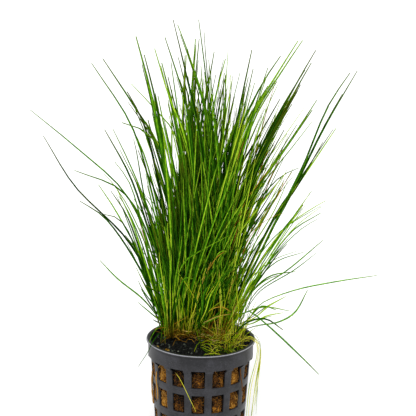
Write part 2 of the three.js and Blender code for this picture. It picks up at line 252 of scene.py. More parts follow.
def stem_material(name, shades, low_shades, base, tip, dry, roughness):
    """shades are the colours by tone high up, low_shades those near the crown, then both ends.

    A stem with the full tone of 1 has the dry colour instead.
    """
    plain = colour(shades[len(shades) // 2][1])
    material, tree, shader = new_material(name, plain, roughness, 0.0)
    along = attribute(tree, "along")
    tone = attribute(tree, "tone")
    # Painted shade across each stem: one side lighter, the other darker.
    lit = attribute(tree, "flank") * FLANK_SHADE
    streak = grain(tree, 900.0, 2.0, (1.0, 1.0, 0.3))
    spot = (tone + (streak - 0.5) * 0.75 + lit).clamped()
    near_crown = (1.15 - along * 2.1).clamped()
    near_root = (1.15 - along * 8.0).clamped()
    near_tip = along.rising(0.8, 0.2)
    living = (near_crown * 0.9).mix(spot.ramp(shades), spot.ramp(low_shades))
    body = tone.rising(0.97, 0.02).mix(living, dry)
    based = (near_root * (spot * 0.75 + 0.2)).mix(body, base)
    feed(tree, shader, (near_tip * 0.45).mix(based, tip), streak * 0.25 + (roughness - 0.12),
         (streak, 0.2, FINE_BUMP))
    return material


green_stem = stem_material(
    "green stem",
    [(0.0, "143206"), (0.3, "265608"), (0.6, "4c8a10"), (0.85, "8ac020"), (1.0, "b4d434")],
    [(0.0, "082406"), (0.3, "1c4a04"), (0.6, "548a0c"), (0.85, "a8bc1e"), (1.0, "dcd444")],
    "d4ac30", "6e7a16", "a47c2c", 0.5)
young_stem = stem_material(
    "young stem",
    [(0.0, "244800"), (0.35, "6a9404"), (0.7, "bccc18"), (1.0, "d8d048")],
    [(0.0, "1e2a00"), (0.35, "6a7e08"), (0.7, "c6c022"), (1.0, "d4c64c")],
    "5c5818", "9cb834", "a89638", 0.5)
dead_stem = stem_material(
    "dead stem",
    [(0.0, "5a3c0a"), (0.4, "a4781c"), (0.75, "d4ac38"), (1.0, "ecd68c")],
    [(0.0, "422a06"), (0.4, "986a16"), (0.75, "cc9e34"), (1.0, "e2c878")],
    "5f3c14", "b08c48", "e0c890", 0.6)
print("stem finishes:", green_stem.name, young_stem.name, dead_stem.name)

# %% [markdown]
# The rock wool is spun mineral fibre stained by the plant: golden brown on top, nearly black in
# its gaps. The granules are baked clay, almost black with a few grey green grains. The pot is
# injection moulded plastic with a fine satin grain and pale scuffs.

# %% Wool, granule and pot finishes
LIP_EDGE = 0.00025
SHADOW_EDGE = 0.0004


def wool_material():
    material, tree, shader = new_material("rock wool", colour("8a5a18"), 0.95, 0.15)
    patches = grain(tree, 300.0, 4.0)
    pores = grain(tree, 1300.0)
    # The wool's per-point number holds each column's stain and a painted shade: darker at the top of
    # each slot, under the bar, and behind the bars.
    shade = (patches * 0.8 + pores - 0.62 + attribute(tree, "gold") * 0.5).clamped()
    stained = shade.ramp([(0.3, "0a0500"), (0.45, "2e1804"), (0.58, "5c370a"),
                          (0.72, "885a16"), (0.9, "a87a30")])
    feed(tree, shader, stained, bump=(pores, 0.9, 0.0004))
    return material


def fibre_material():
    material, tree, shader = new_material("wool fibre", colour("a9741f"), 0.8, 0.2)
    feed(tree, shader, attribute(tree, "tone").ramp([
        (0.0, "1f0f02"), (0.3, "5a3508"), (0.7, "8f601a"), (1.0, "b58a45")]))
    return material


def granule_material():
    material, tree, shader = new_material("granule", colour("0c0d0a"), 0.7, 0.25)
    pits = grain(tree, 2600.0)
    shade = (attribute(tree, "tone") + (pits - 0.5) * 0.2).clamped().ramp([
        (0.0, "010100"), (0.5, "090b07"), (0.72, "20231c"), (0.88, "626a5c"), (1.0, "b0b49e")])
    feed(tree, shader, shade, pits * 0.4 + 0.45, (pits, 0.6, 0.0003))
    return material


def pot_material():
    """Dark plastic with scuffs, a painted shadow under the lip, painted shade over the lip's top and a
    painted highlight on its outer edge.
    """
    material, tree, shader = new_material("pot plastic", colour("29292c"), 0.45, 0.25)
    cloud = grain(tree, 160.0, 4.0)
    fine = grain(tree, 1500.0)
    scuffs = grain(tree, 700.0, 5.0, (1.0, 1.0, 2.2)).rising(0.65, 1 / 6)
    place = node(tree, "ShaderNodeTexCoord", {}, {}, "Object")
    height = node(tree, "ShaderNodeSeparateXYZ", {}, {"Vector": place}, "Z")
    flat = node(tree, "ShaderNodeVectorMath", {"operation": "MULTIPLY"},
                {0: place, 1: (1.0, 1.0, 0.0)}, "Vector")
    reach = node(tree, "ShaderNodeVectorMath", {"operation": "LENGTH"}, {0: flat}, "Value")
    top = height.rising(0.0496, LIP_EDGE)
    # Painted highlight: a pale line along the outer edge of the lip's top.
    painted_lip_highlight = (top * reach.rising(0.025475, LIP_EDGE) * (0.4 + fine)).clamped()
    # Painted shadow: a dark band on the collar just under the lip.
    painted_lip_shadow = height.rising(0.048, SHADOW_EDGE) * (1 - height.rising(0.04904, SHADOW_EDGE))
    plain = (cloud * 0.6 + fine * 0.4).ramp([(0.38, "1a1a1d"), (0.5, "262629"), (0.62, "333338")])
    scuffed = (scuffs * 0.45).mix(plain, "6a6a6e")
    with_lip_shadow = (painted_lip_shadow * 0.6).mix(scuffed, "0e0e10")
    # Painted shade over the top of the lip.
    shaded = (top * 0.7).mix(with_lip_shadow, "151517")
    feed(tree, shader, painted_lip_highlight.mix(shaded, "a2a2a8"), fine * 0.2 + cloud * 0.12 + 0.26,
         (fine, 0.2, FINE_BUMP))
    return material


rock_wool = wool_material()
wool_fibre = fibre_material()
granule = granule_material()
pot_plastic = pot_material()
print("finishes:", rock_wool.name, wool_fibre.name, granule.name, pot_plastic.name)

# %% [markdown]
# ## From paths to meshes
# A stem could be a curve with a bevel, but hundreds of curves are slow and lose their numbers per
# stem. Here all the paths of a piece are one array, and rings of points are laid round them in one
# go. Each tube is closed at the root and runs out to a fine tip.

# %% Paths and tubes
FULL_TURN = 2 * math.pi
CURVE_STEPS = 12
BOX_MARGIN = 1e-6


def between(t, start, end, first, second):
    """On the way from first at start to second at end."""
    return (end - t) / (end - start) * first + (t - start) / (end - start) * second


def smooth_path(points, count):
    """count points evenly spaced along a centripetal Catmull-Rom curve through the points."""
    points = np.asarray(points, dtype=float)
    ends = [2 * points[0] - points[1], *points, 2 * points[-1] - points[-2]]
    fine = []
    for p0, p1, p2, p3 in zip(ends, ends[1:], ends[2:], ends[3:]):
        t1 = math.sqrt(np.linalg.norm(p1 - p0))
        t2 = t1 + math.sqrt(np.linalg.norm(p2 - p1))
        t3 = t2 + math.sqrt(np.linalg.norm(p3 - p2))
        t = np.linspace(t1, t2, CURVE_STEPS, endpoint=False)[:, None]
        middle = between(t, t1, t2, p1, p2)
        before = between(t, 0.0, t2, between(t, 0.0, t1, p0, p1), middle)
        after = between(t, t1, t3, middle, between(t, t2, t3, p2, p3))
        fine.append(between(t, t1, t2, before, after))
    fine = np.vstack([*fine, points[-1:]])
    travelled = np.concatenate([[0], np.cumsum(np.linalg.norm(np.diff(fine, axis=0), axis=1))])
    stops = np.linspace(0, travelled[-1], count)
    return np.stack([np.interp(stops, travelled, fine[:, axis]) for axis in range(3)], axis=1)


def unit(vectors):
    return vectors / np.maximum(np.linalg.norm(vectors, axis=-1, keepdims=True), 1e-9)


def fractions(steps):
    """How far along its stem each step lies, from 0 to 1, as one row."""
    return np.linspace(0, 1, steps)[None, :]


def even_angles(count):
    return FULL_TURN * np.arange(count) / count


def rise_from(values, start, width):
    """0 up to start, 1 from start plus width on, and even between the two."""
    return np.clip((values - start) / width, 0, 1)


def on_circle(radius, angle, height):
    """Points at that radius and angle round the pot's axis."""
    radius, angle, height = np.broadcast_arrays(radius, angle, height)
    return np.stack([radius * np.cos(angle), radius * np.sin(angle), height], axis=-1)


def ring_grid(rows, turns, start=0):
    """The numbers of points in rows that close into rings, and each one's neighbour onward."""
    grid = start + np.arange(rows * turns).reshape(rows, turns)
    return grid, np.roll(grid, -1, axis=1)


def faces_of(*corners):
    """Faces from arrays of point numbers, one array for each corner."""
    return np.stack(np.broadcast_arrays(*corners), axis=-1).reshape(-1, len(corners)).tolist()


def tubes(paths, radii, sides):
    """Closed tubes round paths of shape (number, steps, 3), with radii of shape (number, steps)."""
    number, steps, _ = paths.shape
    chord = unit(paths[:, -1] - paths[:, 0])
    helper = np.eye(3)[np.argmin(np.abs(chord), axis=1)]
    reference = unit(np.cross(chord, helper))[:, None, :]
    tangent = unit(np.gradient(paths, axis=1))
    across = unit(np.cross(tangent, reference))
    other = np.cross(tangent, across)
    turn = even_angles(sides)[:, None]
    ring = across[:, :, None, :] * np.cos(turn) + other[:, :, None, :] * np.sin(turn)
    skin = paths[:, :, None, :] + ring * radii[:, :, None, None]
    tip = paths[:, -1] + tangent[:, -1] * radii[:, -1, None]
    points = np.concatenate([skin.reshape(number, steps * sides, 3), tip[:, None, :]], axis=1)
    each = steps * sides + 1
    starts = np.arange(number)[:, None, None] * each
    grid, onward = ring_grid(steps, sides)
    grid = grid + starts
    onward = onward + starts
    faces = faces_of(grid[:, :-1], onward[:, :-1], onward[:, 1:], grid[:, 1:])
    faces += faces_of(grid[:, -1], onward[:, -1], starts[:, 0] + each - 1)
    faces += grid[:, 0, ::-1].tolist()
    along = np.append(np.repeat(np.linspace(0, 1, steps), sides), 1.0)
    return points.reshape(-1, 3), faces, np.tile(along, number), each


def mesh_piece(name, points, faces, material, numbers=None, smooth=True, held=True):
    """A mesh object from points in millimetres, held inside the solids' box, with named numbers."""
    mesh = bpy.data.meshes.new(name)
    points = np.asarray(points) * MM
    if held:
        points = np.clip(points, np.array(cad_box[0]) + BOX_MARGIN,
                         np.array(cad_box[1]) - BOX_MARGIN)
    mesh.from_pydata(points.tolist(), [], faces)
    for key, values in (numbers or {}).items():
        mesh.attributes.new(key, "FLOAT", "POINT").data.foreach_set(
            "value", np.asarray(values, dtype=np.float32))
    mesh.polygons.foreach_set("use_smooth", np.full(len(mesh.polygons), smooth))
    mesh.materials.append(material)
    piece = bpy.data.objects.new(name, mesh)
    bpy.context.collection.objects.link(piece)
    return piece


def settle(piece, slot, *nodes):
    """The piece belongs to the plant's one body and stands for those solids; the slot is not used."""
    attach(piece, "root")
    if nodes:
        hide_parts(*nodes)
    print(piece.name, len(piece.data.polygons), "faces")


print("path helpers ready")

# %% [markdown]
# ## Where a stem goes
# The photograph gives a stem's place in the picture but not its depth. The plantlets stand in rows
# from front to back, and each row leans out a little more than the last, like the pages of a book
# stood open. A pixel and a page then meet in one point, found by stepping along the line of sight.

# %% Pages and pixels
POT_HEIGHT = 50.0
GAP = 0.35
BED_EDGE_TOP = 43.6
MOUND_RISE = 9.4
MOUND_CENTRE = (3.0, 11.0)
MOUND_SPREAD = (24.0, 14.0)
PAGE_FRONT = 4.3
PAGE_STEP = 1.95
UPRIGHT_PAGE = 4.5
LEAN_PER_PAGE = 0.065
LEAN_AT_ROOT = 0.6
LEAN_GROWTH = 200.0
PAGE_PLAY = 0.34


def bed_height(x, y):
    across = (x - MOUND_CENTRE[0]) / MOUND_SPREAD[0]
    along = (y - MOUND_CENTRE[1]) / MOUND_SPREAD[1]
    return BED_EDGE_TOP + MOUND_RISE * np.exp(-across * across - along * along)


def page_depth(page, height):
    rise = np.maximum(0.0, height - POT_HEIGHT)
    lean = (page - UPRIGHT_PAGE) * LEAN_PER_PAGE
    return PAGE_FRONT + PAGE_STEP * page + lean * rise * (LEAN_AT_ROOT + rise / LEAN_GROWTH)


def point_at_depth(px, py, depth):
    direction = (view_forward * FOCAL_PIXELS + frame_right * (px - FRAME_CENTRE)
                 - frame_up * (py - FRAME_CENTRE))
    return eye + direction * (depth - eye[1]) / direction[1]


def point_on_page(px, py, page):
    point = point_at_depth(px, py, 0.0)
    for _ in range(8):
        point = point_at_depth(px, py, page_depth(page, point[2]))
    return point


print("rim centre at depth 0:", point_at_depth(200.9, 338.5, 0.0).round(1))

# %% [markdown]
# ## The measured stems
# Every row is one plantlet: its name, its page, the X of its crown in millimetres and its stems. A
# stem is a list of pixels, X and Y in turn, from the tip down. A stem with only its tip rises to 55%
# of the height over 36% of the sideways reach and then bows out. Stems that leave their page carry a
# depth as well. These are the same numbers as in the solids, so each dressed stem lies on its own.

# %% Stem tables
PLANTLETS = [
    ("front_left", 0, -13, [[158, 238], [168, 176], [163, 128], [176, 206], [150, 204]]),
    ("front_arc", -1, -9, [[227.9, 236.1, 202.6, 249.5, 184, 262, 177, 285], [178, 262], [194, 258],
     [186, 284]]),
    ("front_middle", 0, -6, [[186, 158], [197, 118], [191, 212], [206, 176], [196, 250]]),
    ("front_right", -0.5, 2, [[216, 222], [212, 130], [233, 148], [221, 168],
     [224.4, 253, 208.2, 290]]),
    ("low_left", 1, -17, [[104.2, 214.4, 120.5, 220.1], [110.9, 191, 128, 218],
     [117.6, 190.5, 132, 222], [114.7, 161.8, 130, 183.8], [145.7, 174.1]]),
    ("tall_left", 1, -7, [[136, 36.6, 149.7, 88, 162, 150], [153.8, 159.2], [144.3, 54.9, 157.1, 108.8],
     [122.7, 122.9, 147.2, 132.8, 166, 165], [148, 120], [158, 96]]),
    ("tall_inner_left", 1, 3, [[154.7, 48.7, 169.6, 98, 186.2, 142], [168, 77], [161.8, 63, 178, 130],
     [165, 37.4, 176.2, 71.5, 186.2, 104.6], [176, 140], [188, 168]]),
    ("tall_middle", 1, 11, [[173.1, 19.6, 186.3, 74.1, 200, 135], [177.7, 24.8, 190.4, 59.2, 208, 120],
     [198.7, 19.6, 205.3, 71.3, 213, 150], [208.7, 59.8], [204, 130], [216, 150]]),
    ("middle_fork", 2, -11, [[199.2, 39, 194.9, 83.9, 190, 140], [186.3, 55.2], [195.5, 39.1, 192, 90],
     [214.2, 51.7, 208.7, 83.9, 198, 150], [182, 130], [204, 112]]),
    ("middle_right", 2, -3, [[225.4, 59.2, 217.3, 89.6, 207, 150], [210, 150], [225.9, 74.7, 217, 120],
     [225.4, 78.7, 225, 120, 214, 190], [234.5, 96.8], [222, 190]]),
    ("upper_right", 2, 5, [[251.9, 49.9, 239.8, 107.5, 228, 170], [248.3, 77.1],
     [253.2, 68.7, 240, 130], [267.9, 67.8, 251, 120, 233, 190], [240, 150], [250, 180]]),
    ("side_right", 2, 13, [[311.5, 191.2, 293.7, 216.1, 262, 264],
     [325.6, 200.7, 307.8, 211.1, 282.9, 230, 256, 270], [321, 212.8, 290, 233], [262, 200],
     [287.4, 243.8, 278.3, 253.4, 252, 290]]),
    ("far_left", 3, -17, [[30.5, 110.1, 77.4, 148.4, 125.3, 193.3, 152, 255],
     [43.4, 135.9, 74.5, 185.7, 125.3, 237.4, 152, 284], [74.5, 170.4, 121.4, 190.5, 150, 240],
     [98.5, 184.7, 115.7, 210.6, 148, 272], [79.8, 201, 105, 218, 144, 276]]),
    ("upper_left", 3, -9, [[91.6, 63.2, 131.4, 125.4, 151.5, 191],
     [102.8, 58.6, 134.8, 107.1, 161.5, 153, 170, 230], [127.3, 91.8, 145, 127], [138, 150],
     [104.7, 129.7, 130, 176.1, 152, 240]]),
    ("inner_left", 3, 0, [[152, 132], [176, 172], [168, 104],
     [131.4, 83.9, 156.3, 110.4, 175.4, 134.5, 191, 200], [186, 120]]),
    ("inner_middle", 3, 8, [[178.3, 57.5, 193, 120], [192, 92], [201, 152], [210, 96], [214, 180]]),
    ("heart_left", 4, -14, [[172, 90], [185, 142], [160, 186], [193, 104], [176, 232]]),
    ("far_upper_right", 4, -6, [[280.4, 56.2, 262, 84, 232, 150], [240, 116],
     [297.9, 41, 274.6, 78, 243, 132], [302.5, 40.5, 282, 71, 247, 129], [276.9, 81.6, 255, 118],
     [228, 178]]),
    ("thick_bundle", 4, 3, [[315.7, 50.4, 297, 82.5, 267.5, 140, 238, 220],
     [311.3, 62.9, 294, 93, 265, 148, 236, 224], [305, 70, 284, 104, 256, 160], [292, 104, 262, 154],
     [284, 130, 252, 190], [262, 178]]),
    ("outer_right", 4, 12, [[350.1, 72.7, 328.2, 105.7, 303.6, 164.7, 272, 230],
     [357.2, 70.9, 324, 128, 292, 193, 265, 243], [335.8, 128.5, 303.6, 176.3, 274, 219],
     [322.7, 142.3, 298, 185, 266, 232], [303, 205, 268, 250]]),
    ("low_right", 5, 17, [[323.2, 240, 287.8, 269.7, 256, 292], [270, 262],
     [295.5, 271.6, 270, 276, 252, 292], [258, 236], [285.5, 296.5, 268.7, 306, 254, 318]]),
    ("stray_left", 5, -16, [[99.8, 260.2, 117.6, 278.6, 144, 300], [136, 267.1, 148, 292],
     [141.1, 288.9, 153, 308], [137.7, 302.1, 152, 314], [152, 236]]),
    ("back_left", 5, -10, [[112.8, 128.8, 130, 164.6, 152, 220], [152, 163.8], [124, 112, 146, 160],
     [140, 196], [164, 152]]),
    ("back_inner_left", 5, -2, [[149, 86, 165, 140], [171, 62, 180, 130], [160, 128], [182, 110],
     [174, 190]]),
    ("back_middle", 5, 6, [[188, 76], [201, 66], [198, 120], [214, 118], [206, 196]]),
    ("heart_right", 6, -12, [[190, 84], [204, 126], [180, 152], [214, 92], [196, 210]]),
    ("back_upper_right", 6, -4, [[316.6, 100.4, 290.7, 140, 250, 200],
     [297.4, 91.4, 276, 128, 240, 190], [312.1, 110.2, 283, 152, 246, 206], [232, 132],
     [280, 99, 261.3, 131.6, 234, 180]]),
    ("back_right", 5, 12, [[297, 124.5, 280, 152, 250, 208], [238, 160],
     [298.7, 168, 280, 177, 256, 208], [284.2, 179.6, 268, 211.9, 246, 250], [262, 140]]),
    ("back_low_right", 6, 13, [[304, 252, 276, 262, 250, 290], [272, 224],
     [291.7, 311.3, 263.9, 307, 246, 312], [283, 312.7, 266, 316, 250, 324], [250, 250]]),
    ("rear_left", 7, -9, [[120, 150, 142, 196], [134, 106, 154, 160], [152, 112], [170, 142],
     [158, 206]]),
    ("rear_middle", 7, 0, [[168, 100], [184, 78], [196, 134], [206, 86], [218, 124]]),
    ("rear_right", 7, 9, [[244, 92], [262, 116], [232, 140], [274, 158], [252, 196]]),
    ("hind_left", 8, -4, [[146, 138], [164, 118], [182, 146], [172, 178], [188, 198]]),
    ("hind_right", 8, 5, [[206, 112], [226, 104], [244, 134], [222, 164], [236, 190]]),
]

YOUNG = [
    ("young_front", -6.8, 13, [[226, 330], [233, 322], [240, 332], [247, 327], [251, 336]]),
    ("young_middle", -4.4, 17, [[232, 306], [240, 298], [247, 308], [251, 318], [258, 326]]),
    ("young_inner", -3.1, 9, [[222, 300], [229, 288], [236, 296], [214, 318], [242, 314]]),
    ("young_back", -1.3, 19.5, [[236, 282], [244, 272], [251, 286], [257, 300], [262, 262]]),
]

ARCHING = [
    ("arch_front_left", [-14.4, 1.6], [[[182, 236, -62], [180, 252, -40], [174, 290, -18]],
     [[158, 262, -50], [160, 276, -32], [165, 305, -15]], [[170, 250, -56], [170, 262, -38],
     [170, 296, -17]]]),
    ("arch_front_right", [-3.2, 1.4], [[[214, 292, -58], [208, 296, -38], [205, 312, -18]],
     [[200, 276, -52], [201, 286, -34], [201, 308, -17]], [[224, 272, -46], [217, 286, -30],
     [209, 310, -16]]]),
    ("arch_back_left", [-10, 19.8], [[[152, 176, 74], [160, 200, 52], [168, 250, 34]], [[142, 206, 66],
     [154, 226, 48], [166, 262, 32]]]),
    ("arch_back_middle", [0.6, 21.9], [[[190, 262, 62], [190, 272, 44], [196, 296, 31], [199, 309, 25]],
     [[206, 240, 66], [204, 254, 48], [202, 284, 32], [201.5, 306, 25]]]),
    ("arch_back_right", [12, 18.9], [[[238, 190, 70], [234, 215, 50], [228, 262, 33]], [[252, 214, 62],
     [243, 236, 46], [232, 272, 31]]]),
]

DROOPING = [
    ("long_wavy", [17, 5.2], [[[376.8, 275.4, -2], [335.7, 281.6, 0], [292.6, 290.7, 2],
     [259.1, 305, 4], [247, 322, 5]], [[307.5, 290.2, 1], [294.5, 312.7, 2], [278.3, 322, 3],
     [255.3, 326, 4.5]], [[276.4, 310, 1], [262, 306, 2], [249, 318, 4]]]),
    ("down_right", [11.5, -5.4], [[[318.9, 374.4, -12], [297.4, 352.9, -10], [263, 321.3, -7],
     [247.7, 310.8, -5], [238, 318, -4]], [[283, 330, -16], [266, 319, -13], [248, 322, -11.4]]]),
    ("hanging_right", [18.5, -6.5], [[[250, 424, -7], [255.4, 385, -7.5], [260.4, 352, -8],
     [257.4, 339.5, -8], [247, 335, -7]], [[246, 420, -10], [249.5, 385, -10.5], [257, 354, -11],
     [255.8, 341.2, -10.5], [245, 338, -8]], [[256, 414, -6], [258, 380, -6.2], [261, 350, -6.5],
     [257.5, 337, -6.5], [247, 332, -6.5]]]),
    ("rim_left", [-18, -1.5], [[[138, 367, -14], [148.5, 350.8, -13.4], [152.5, 342, -12],
     [161, 332, -6]], [[149, 342.6, -10], [153, 334, -9], [160, 326, -5]], [[157, 330, -4],
     [163, 318, -2]]]),
]
SLOT_STEM = [[175.3, 372.5, -21.5], [178.5, 376.8, -25.4], [182.3, 383.5, -25.8],
             [189.6, 398.6, -26.4], [196, 412, -28]]
CROWN_WIDTH = 4.2
CROWN_DEPTH = 1.5
CROWN_HEIGHT = 1.6
STEM_STEPS = 16
BOW = [0.36, 0, 0.55]
PLAY_STEP = 0.618


def start_point(root, place, count):
    """Stems leave the flat crown side by side."""
    x, y = root
    return np.array([x + CROWN_WIDTH * 0.8 * ((place + 0.5) / count - 0.5),
                     y + CROWN_DEPTH * (0.2 if place % 2 else -0.2),
                     bed_height(x, y) + GAP + 0.1 + CROWN_HEIGHT * 0.6])


def points_on_page(pixels, page):
    """The stem's points from the root up, from pixels that run from the tip down."""
    return [point_on_page(px, py, page) for px, py in zip(pixels[-2::-2], pixels[-1::-2])]


def stem_points(start, pixels, page):
    if isinstance(pixels[0], list):
        return [start, *[point_at_depth(*pixel) for pixel in reversed(pixels)]]
    points = points_on_page(pixels, page)
    if len(points) == 1:
        tip = points[0]
        middle = start + (tip - start) * BOW
        middle[1] = page_depth(page, middle[2])
        points.insert(0, middle)
    return [start, *points]


def measured_paths(root, page, stems):
    """The plantlet's own stems as even paths, from the one on the left to the one on the right."""
    tips = [np.ravel(pixels)[0] for pixels in stems]
    order = np.argsort(np.argsort(tips, kind="stable"), kind="stable")
    paths = [None] * len(stems)
    for index, pixels in enumerate(stems):
        play = PAGE_PLAY * (2 * ((index * PLAY_STEP + 0.3) % 1) - 1)
        start = start_point(root, order[index], len(stems))
        points = stem_points(start, pixels, None if page is None else page + play)
        paths[order[index]] = smooth_path(points, STEM_STEPS)
    return np.array(paths)


print("plantlets:", len(PLANTLETS), "young:", len(YOUNG), "arching:", len(ARCHING),
      "drooping:", len(DROOPING))

# %% [markdown]
# ## Filling out a plantlet
# Five measured stems give a plantlet its form, but a real one has twenty or more. Some of the others
# leave the course of one measured stem for that of another and are cut short by up to half. Some are
# free: they lean by an angle of their own and bow over, so that stems cross as they do in the
# photograph. Both kinds end where they would leave the dense part of the tuft, whose left and right
# edges are read off the photograph at a few heights. The last kind winds about a measured stem,
# close by it where the photograph shows one thick stroke and further off where it shows a fan.

# %% Courses of the other stems
WILD = 0.5
NEAR_SEARCH = 16
WILD_SEARCH = 60
FREE_LEAN = 11.0
FREE_LEAN_PER_MM = 0.45
FREE_SPREAD = 26.0
FRONT_LEAN = 14.0
DEPTH_PLAY = 4.5
EDGE_PLAY = 7
FRONT_PAGES = 3
BULK_HEIGHTS = [40, 60, 100, 150, 200, 250, 300, 330, 420]
BULK_LEFT = [190, 188, 190, 190, 175, 158, 157, 158, 158]
BULK_RIGHT = [216, 234, 288, 274, 284, 242, 226, 230, 240]
FRONT_RIGHT = [216, 232, 244, 244, 238, 230, 222, 228, 236]


def shortened(paths, reach):
    """Each path kept up to its own fraction, with the same number of steps."""
    steps = paths.shape[1]
    place = fractions(steps) * reach[:, None] * (steps - 1)
    low = np.minimum(place.astype(int), steps - 2)
    part = (place - low)[:, :, None]
    rows = np.arange(len(paths))[:, None]
    return paths[rows, low] * (1 - part) + paths[rows, low + 1] * part


def pixels_of(points):
    """Where points in millimetres show in the photograph."""
    seen = points - eye
    ahead = seen @ view_forward
    return (FRAME_CENTRE + FOCAL_PIXELS * (seen @ frame_right) / ahead,
            FRAME_CENTRE - FOCAL_PIXELS * (seen @ frame_up) / ahead)


def inside_bulk(paths, page, rng):
    """The fraction of each path that lies in the dense part of the tuft, narrower in front."""
    right = FRONT_RIGHT if page <= FRONT_PAGES else BULK_RIGHT
    across, down = pixels_of(paths)
    margin = rng.normal(0, EDGE_PLAY, (len(paths), 1))
    outside = ((across < np.interp(down, BULK_HEIGHTS, BULK_LEFT) - margin)
               | (across > np.interp(down, BULK_HEIGHTS, right) + margin))
    outside[:, :3] = False
    last = paths.shape[1] - 1
    return np.where(outside.any(axis=1), outside.argmax(axis=1), last) / last


def grown_between(paths, pool, page, count, rng, sway, shortest):
    """count more stems, each of which changes over from one stem to another of the same row."""
    one_each = (count, 1)
    along = fractions(paths.shape[1])
    first = paths[rng.integers(0, len(paths), count)]
    wild = rng.random(count) < WILD
    search = np.where(wild, WILD_SEARCH, NEAR_SEARCH)[:, None]
    apart = np.abs(pool[None, :, 0, 0] - first[:, None, 0, 0])
    apart = apart + rng.uniform(0, 1, (count, len(pool))) * search
    second = pool[np.argmin(apart, axis=1)]
    change = rng.uniform(0.3, 1.0, one_each) * along ** rng.uniform(0.6, 1.6, one_each)
    mixed = first + (second - first) * change[..., None]
    reach = 1 - (1 - shortest) * rng.random(count) ** 2.2
    if page is not None:
        reach *= np.where(wild, rng.uniform(0.65, 1.0, count), 1.0)
        reach = np.minimum(reach, inside_bulk(mixed, page, rng))
    mixed = shortened(mixed, reach)
    phase = rng.uniform(0, FULL_TURN, one_each)
    swing = (np.sin(phase + along * rng.uniform(1.5, 4.5, one_each)) - np.sin(phase)) * along
    mixed[:, :, 0] += swing * rng.uniform(0.1, sway, one_each) + rng.uniform(-1.0, 1.0, one_each)
    mixed[:, :, 1] += (swing * rng.uniform(-0.7, 0.7, one_each) + rng.uniform(-0.5, 0.5, one_each)
                       + rng.normal(0, DEPTH_PLAY, one_each) * along)
    return mixed


def free_stems(paths, page, count, rng):
    """count stems from the same crown that lean and bow over by angles of their own."""
    one_each = (count, 1)
    steps = paths.shape[1]
    along = fractions(steps)
    start = paths[rng.integers(0, len(paths), count), 0]
    start = start + rng.normal(0, 0.7, (count, 3)) * [1, 0.6, 0]
    lean = FREE_LEAN + FREE_LEAN_PER_MM * start[:, :1] + rng.normal(0, FREE_SPREAD, one_each)
    lean += FRONT_LEAN * max(0.0, 1 - page / 2)
    first = np.radians(lean) * rng.uniform(0.1, 1.0, one_each)
    angle = first + (np.radians(lean) - first) * along
    step = rng.uniform(30, 130, one_each) * np.cos(np.radians(lean)) / (steps - 1)
    made = np.zeros((count, steps, 3))
    made[:, 1:, 0] = np.cumsum(np.sin(angle[:, 1:]) * step, axis=1)
    made[:, 1:, 2] = np.cumsum(np.cos(angle[:, 1:]) * step, axis=1)
    made += start[:, None, :]
    away = page_depth(page, made[:, :, 2]) - page_depth(page, made[:, :1, 2])
    made[:, :, 1] += away + rng.normal(0, DEPTH_PLAY, one_each) * along
    return shortened(made, inside_bulk(made, page, rng))


def twined(paths, count, loose, shortest, longest, rng):
    """Stems that wind about each measured one: close by it they show as one thick stroke."""
    number = len(paths) * count
    along = fractions(paths.shape[1])
    beside = shortened(np.repeat(paths, count, axis=0), rng.uniform(shortest, longest, number))
    for axis, width in ((0, 0.5), (1, 0.4)):
        phase = rng.uniform(0, FULL_TURN, (number, 1))
        turns = rng.uniform(1.0, 5.0, (number, 1))
        apart = width * loose * rng.uniform(0.4, 1.6, (number, 1))
        beside[:, :, axis] += apart * (np.sin(phase + turns * along) - np.sin(phase))
    return beside


print("ways to fill out a plantlet: between stems, free, twined")
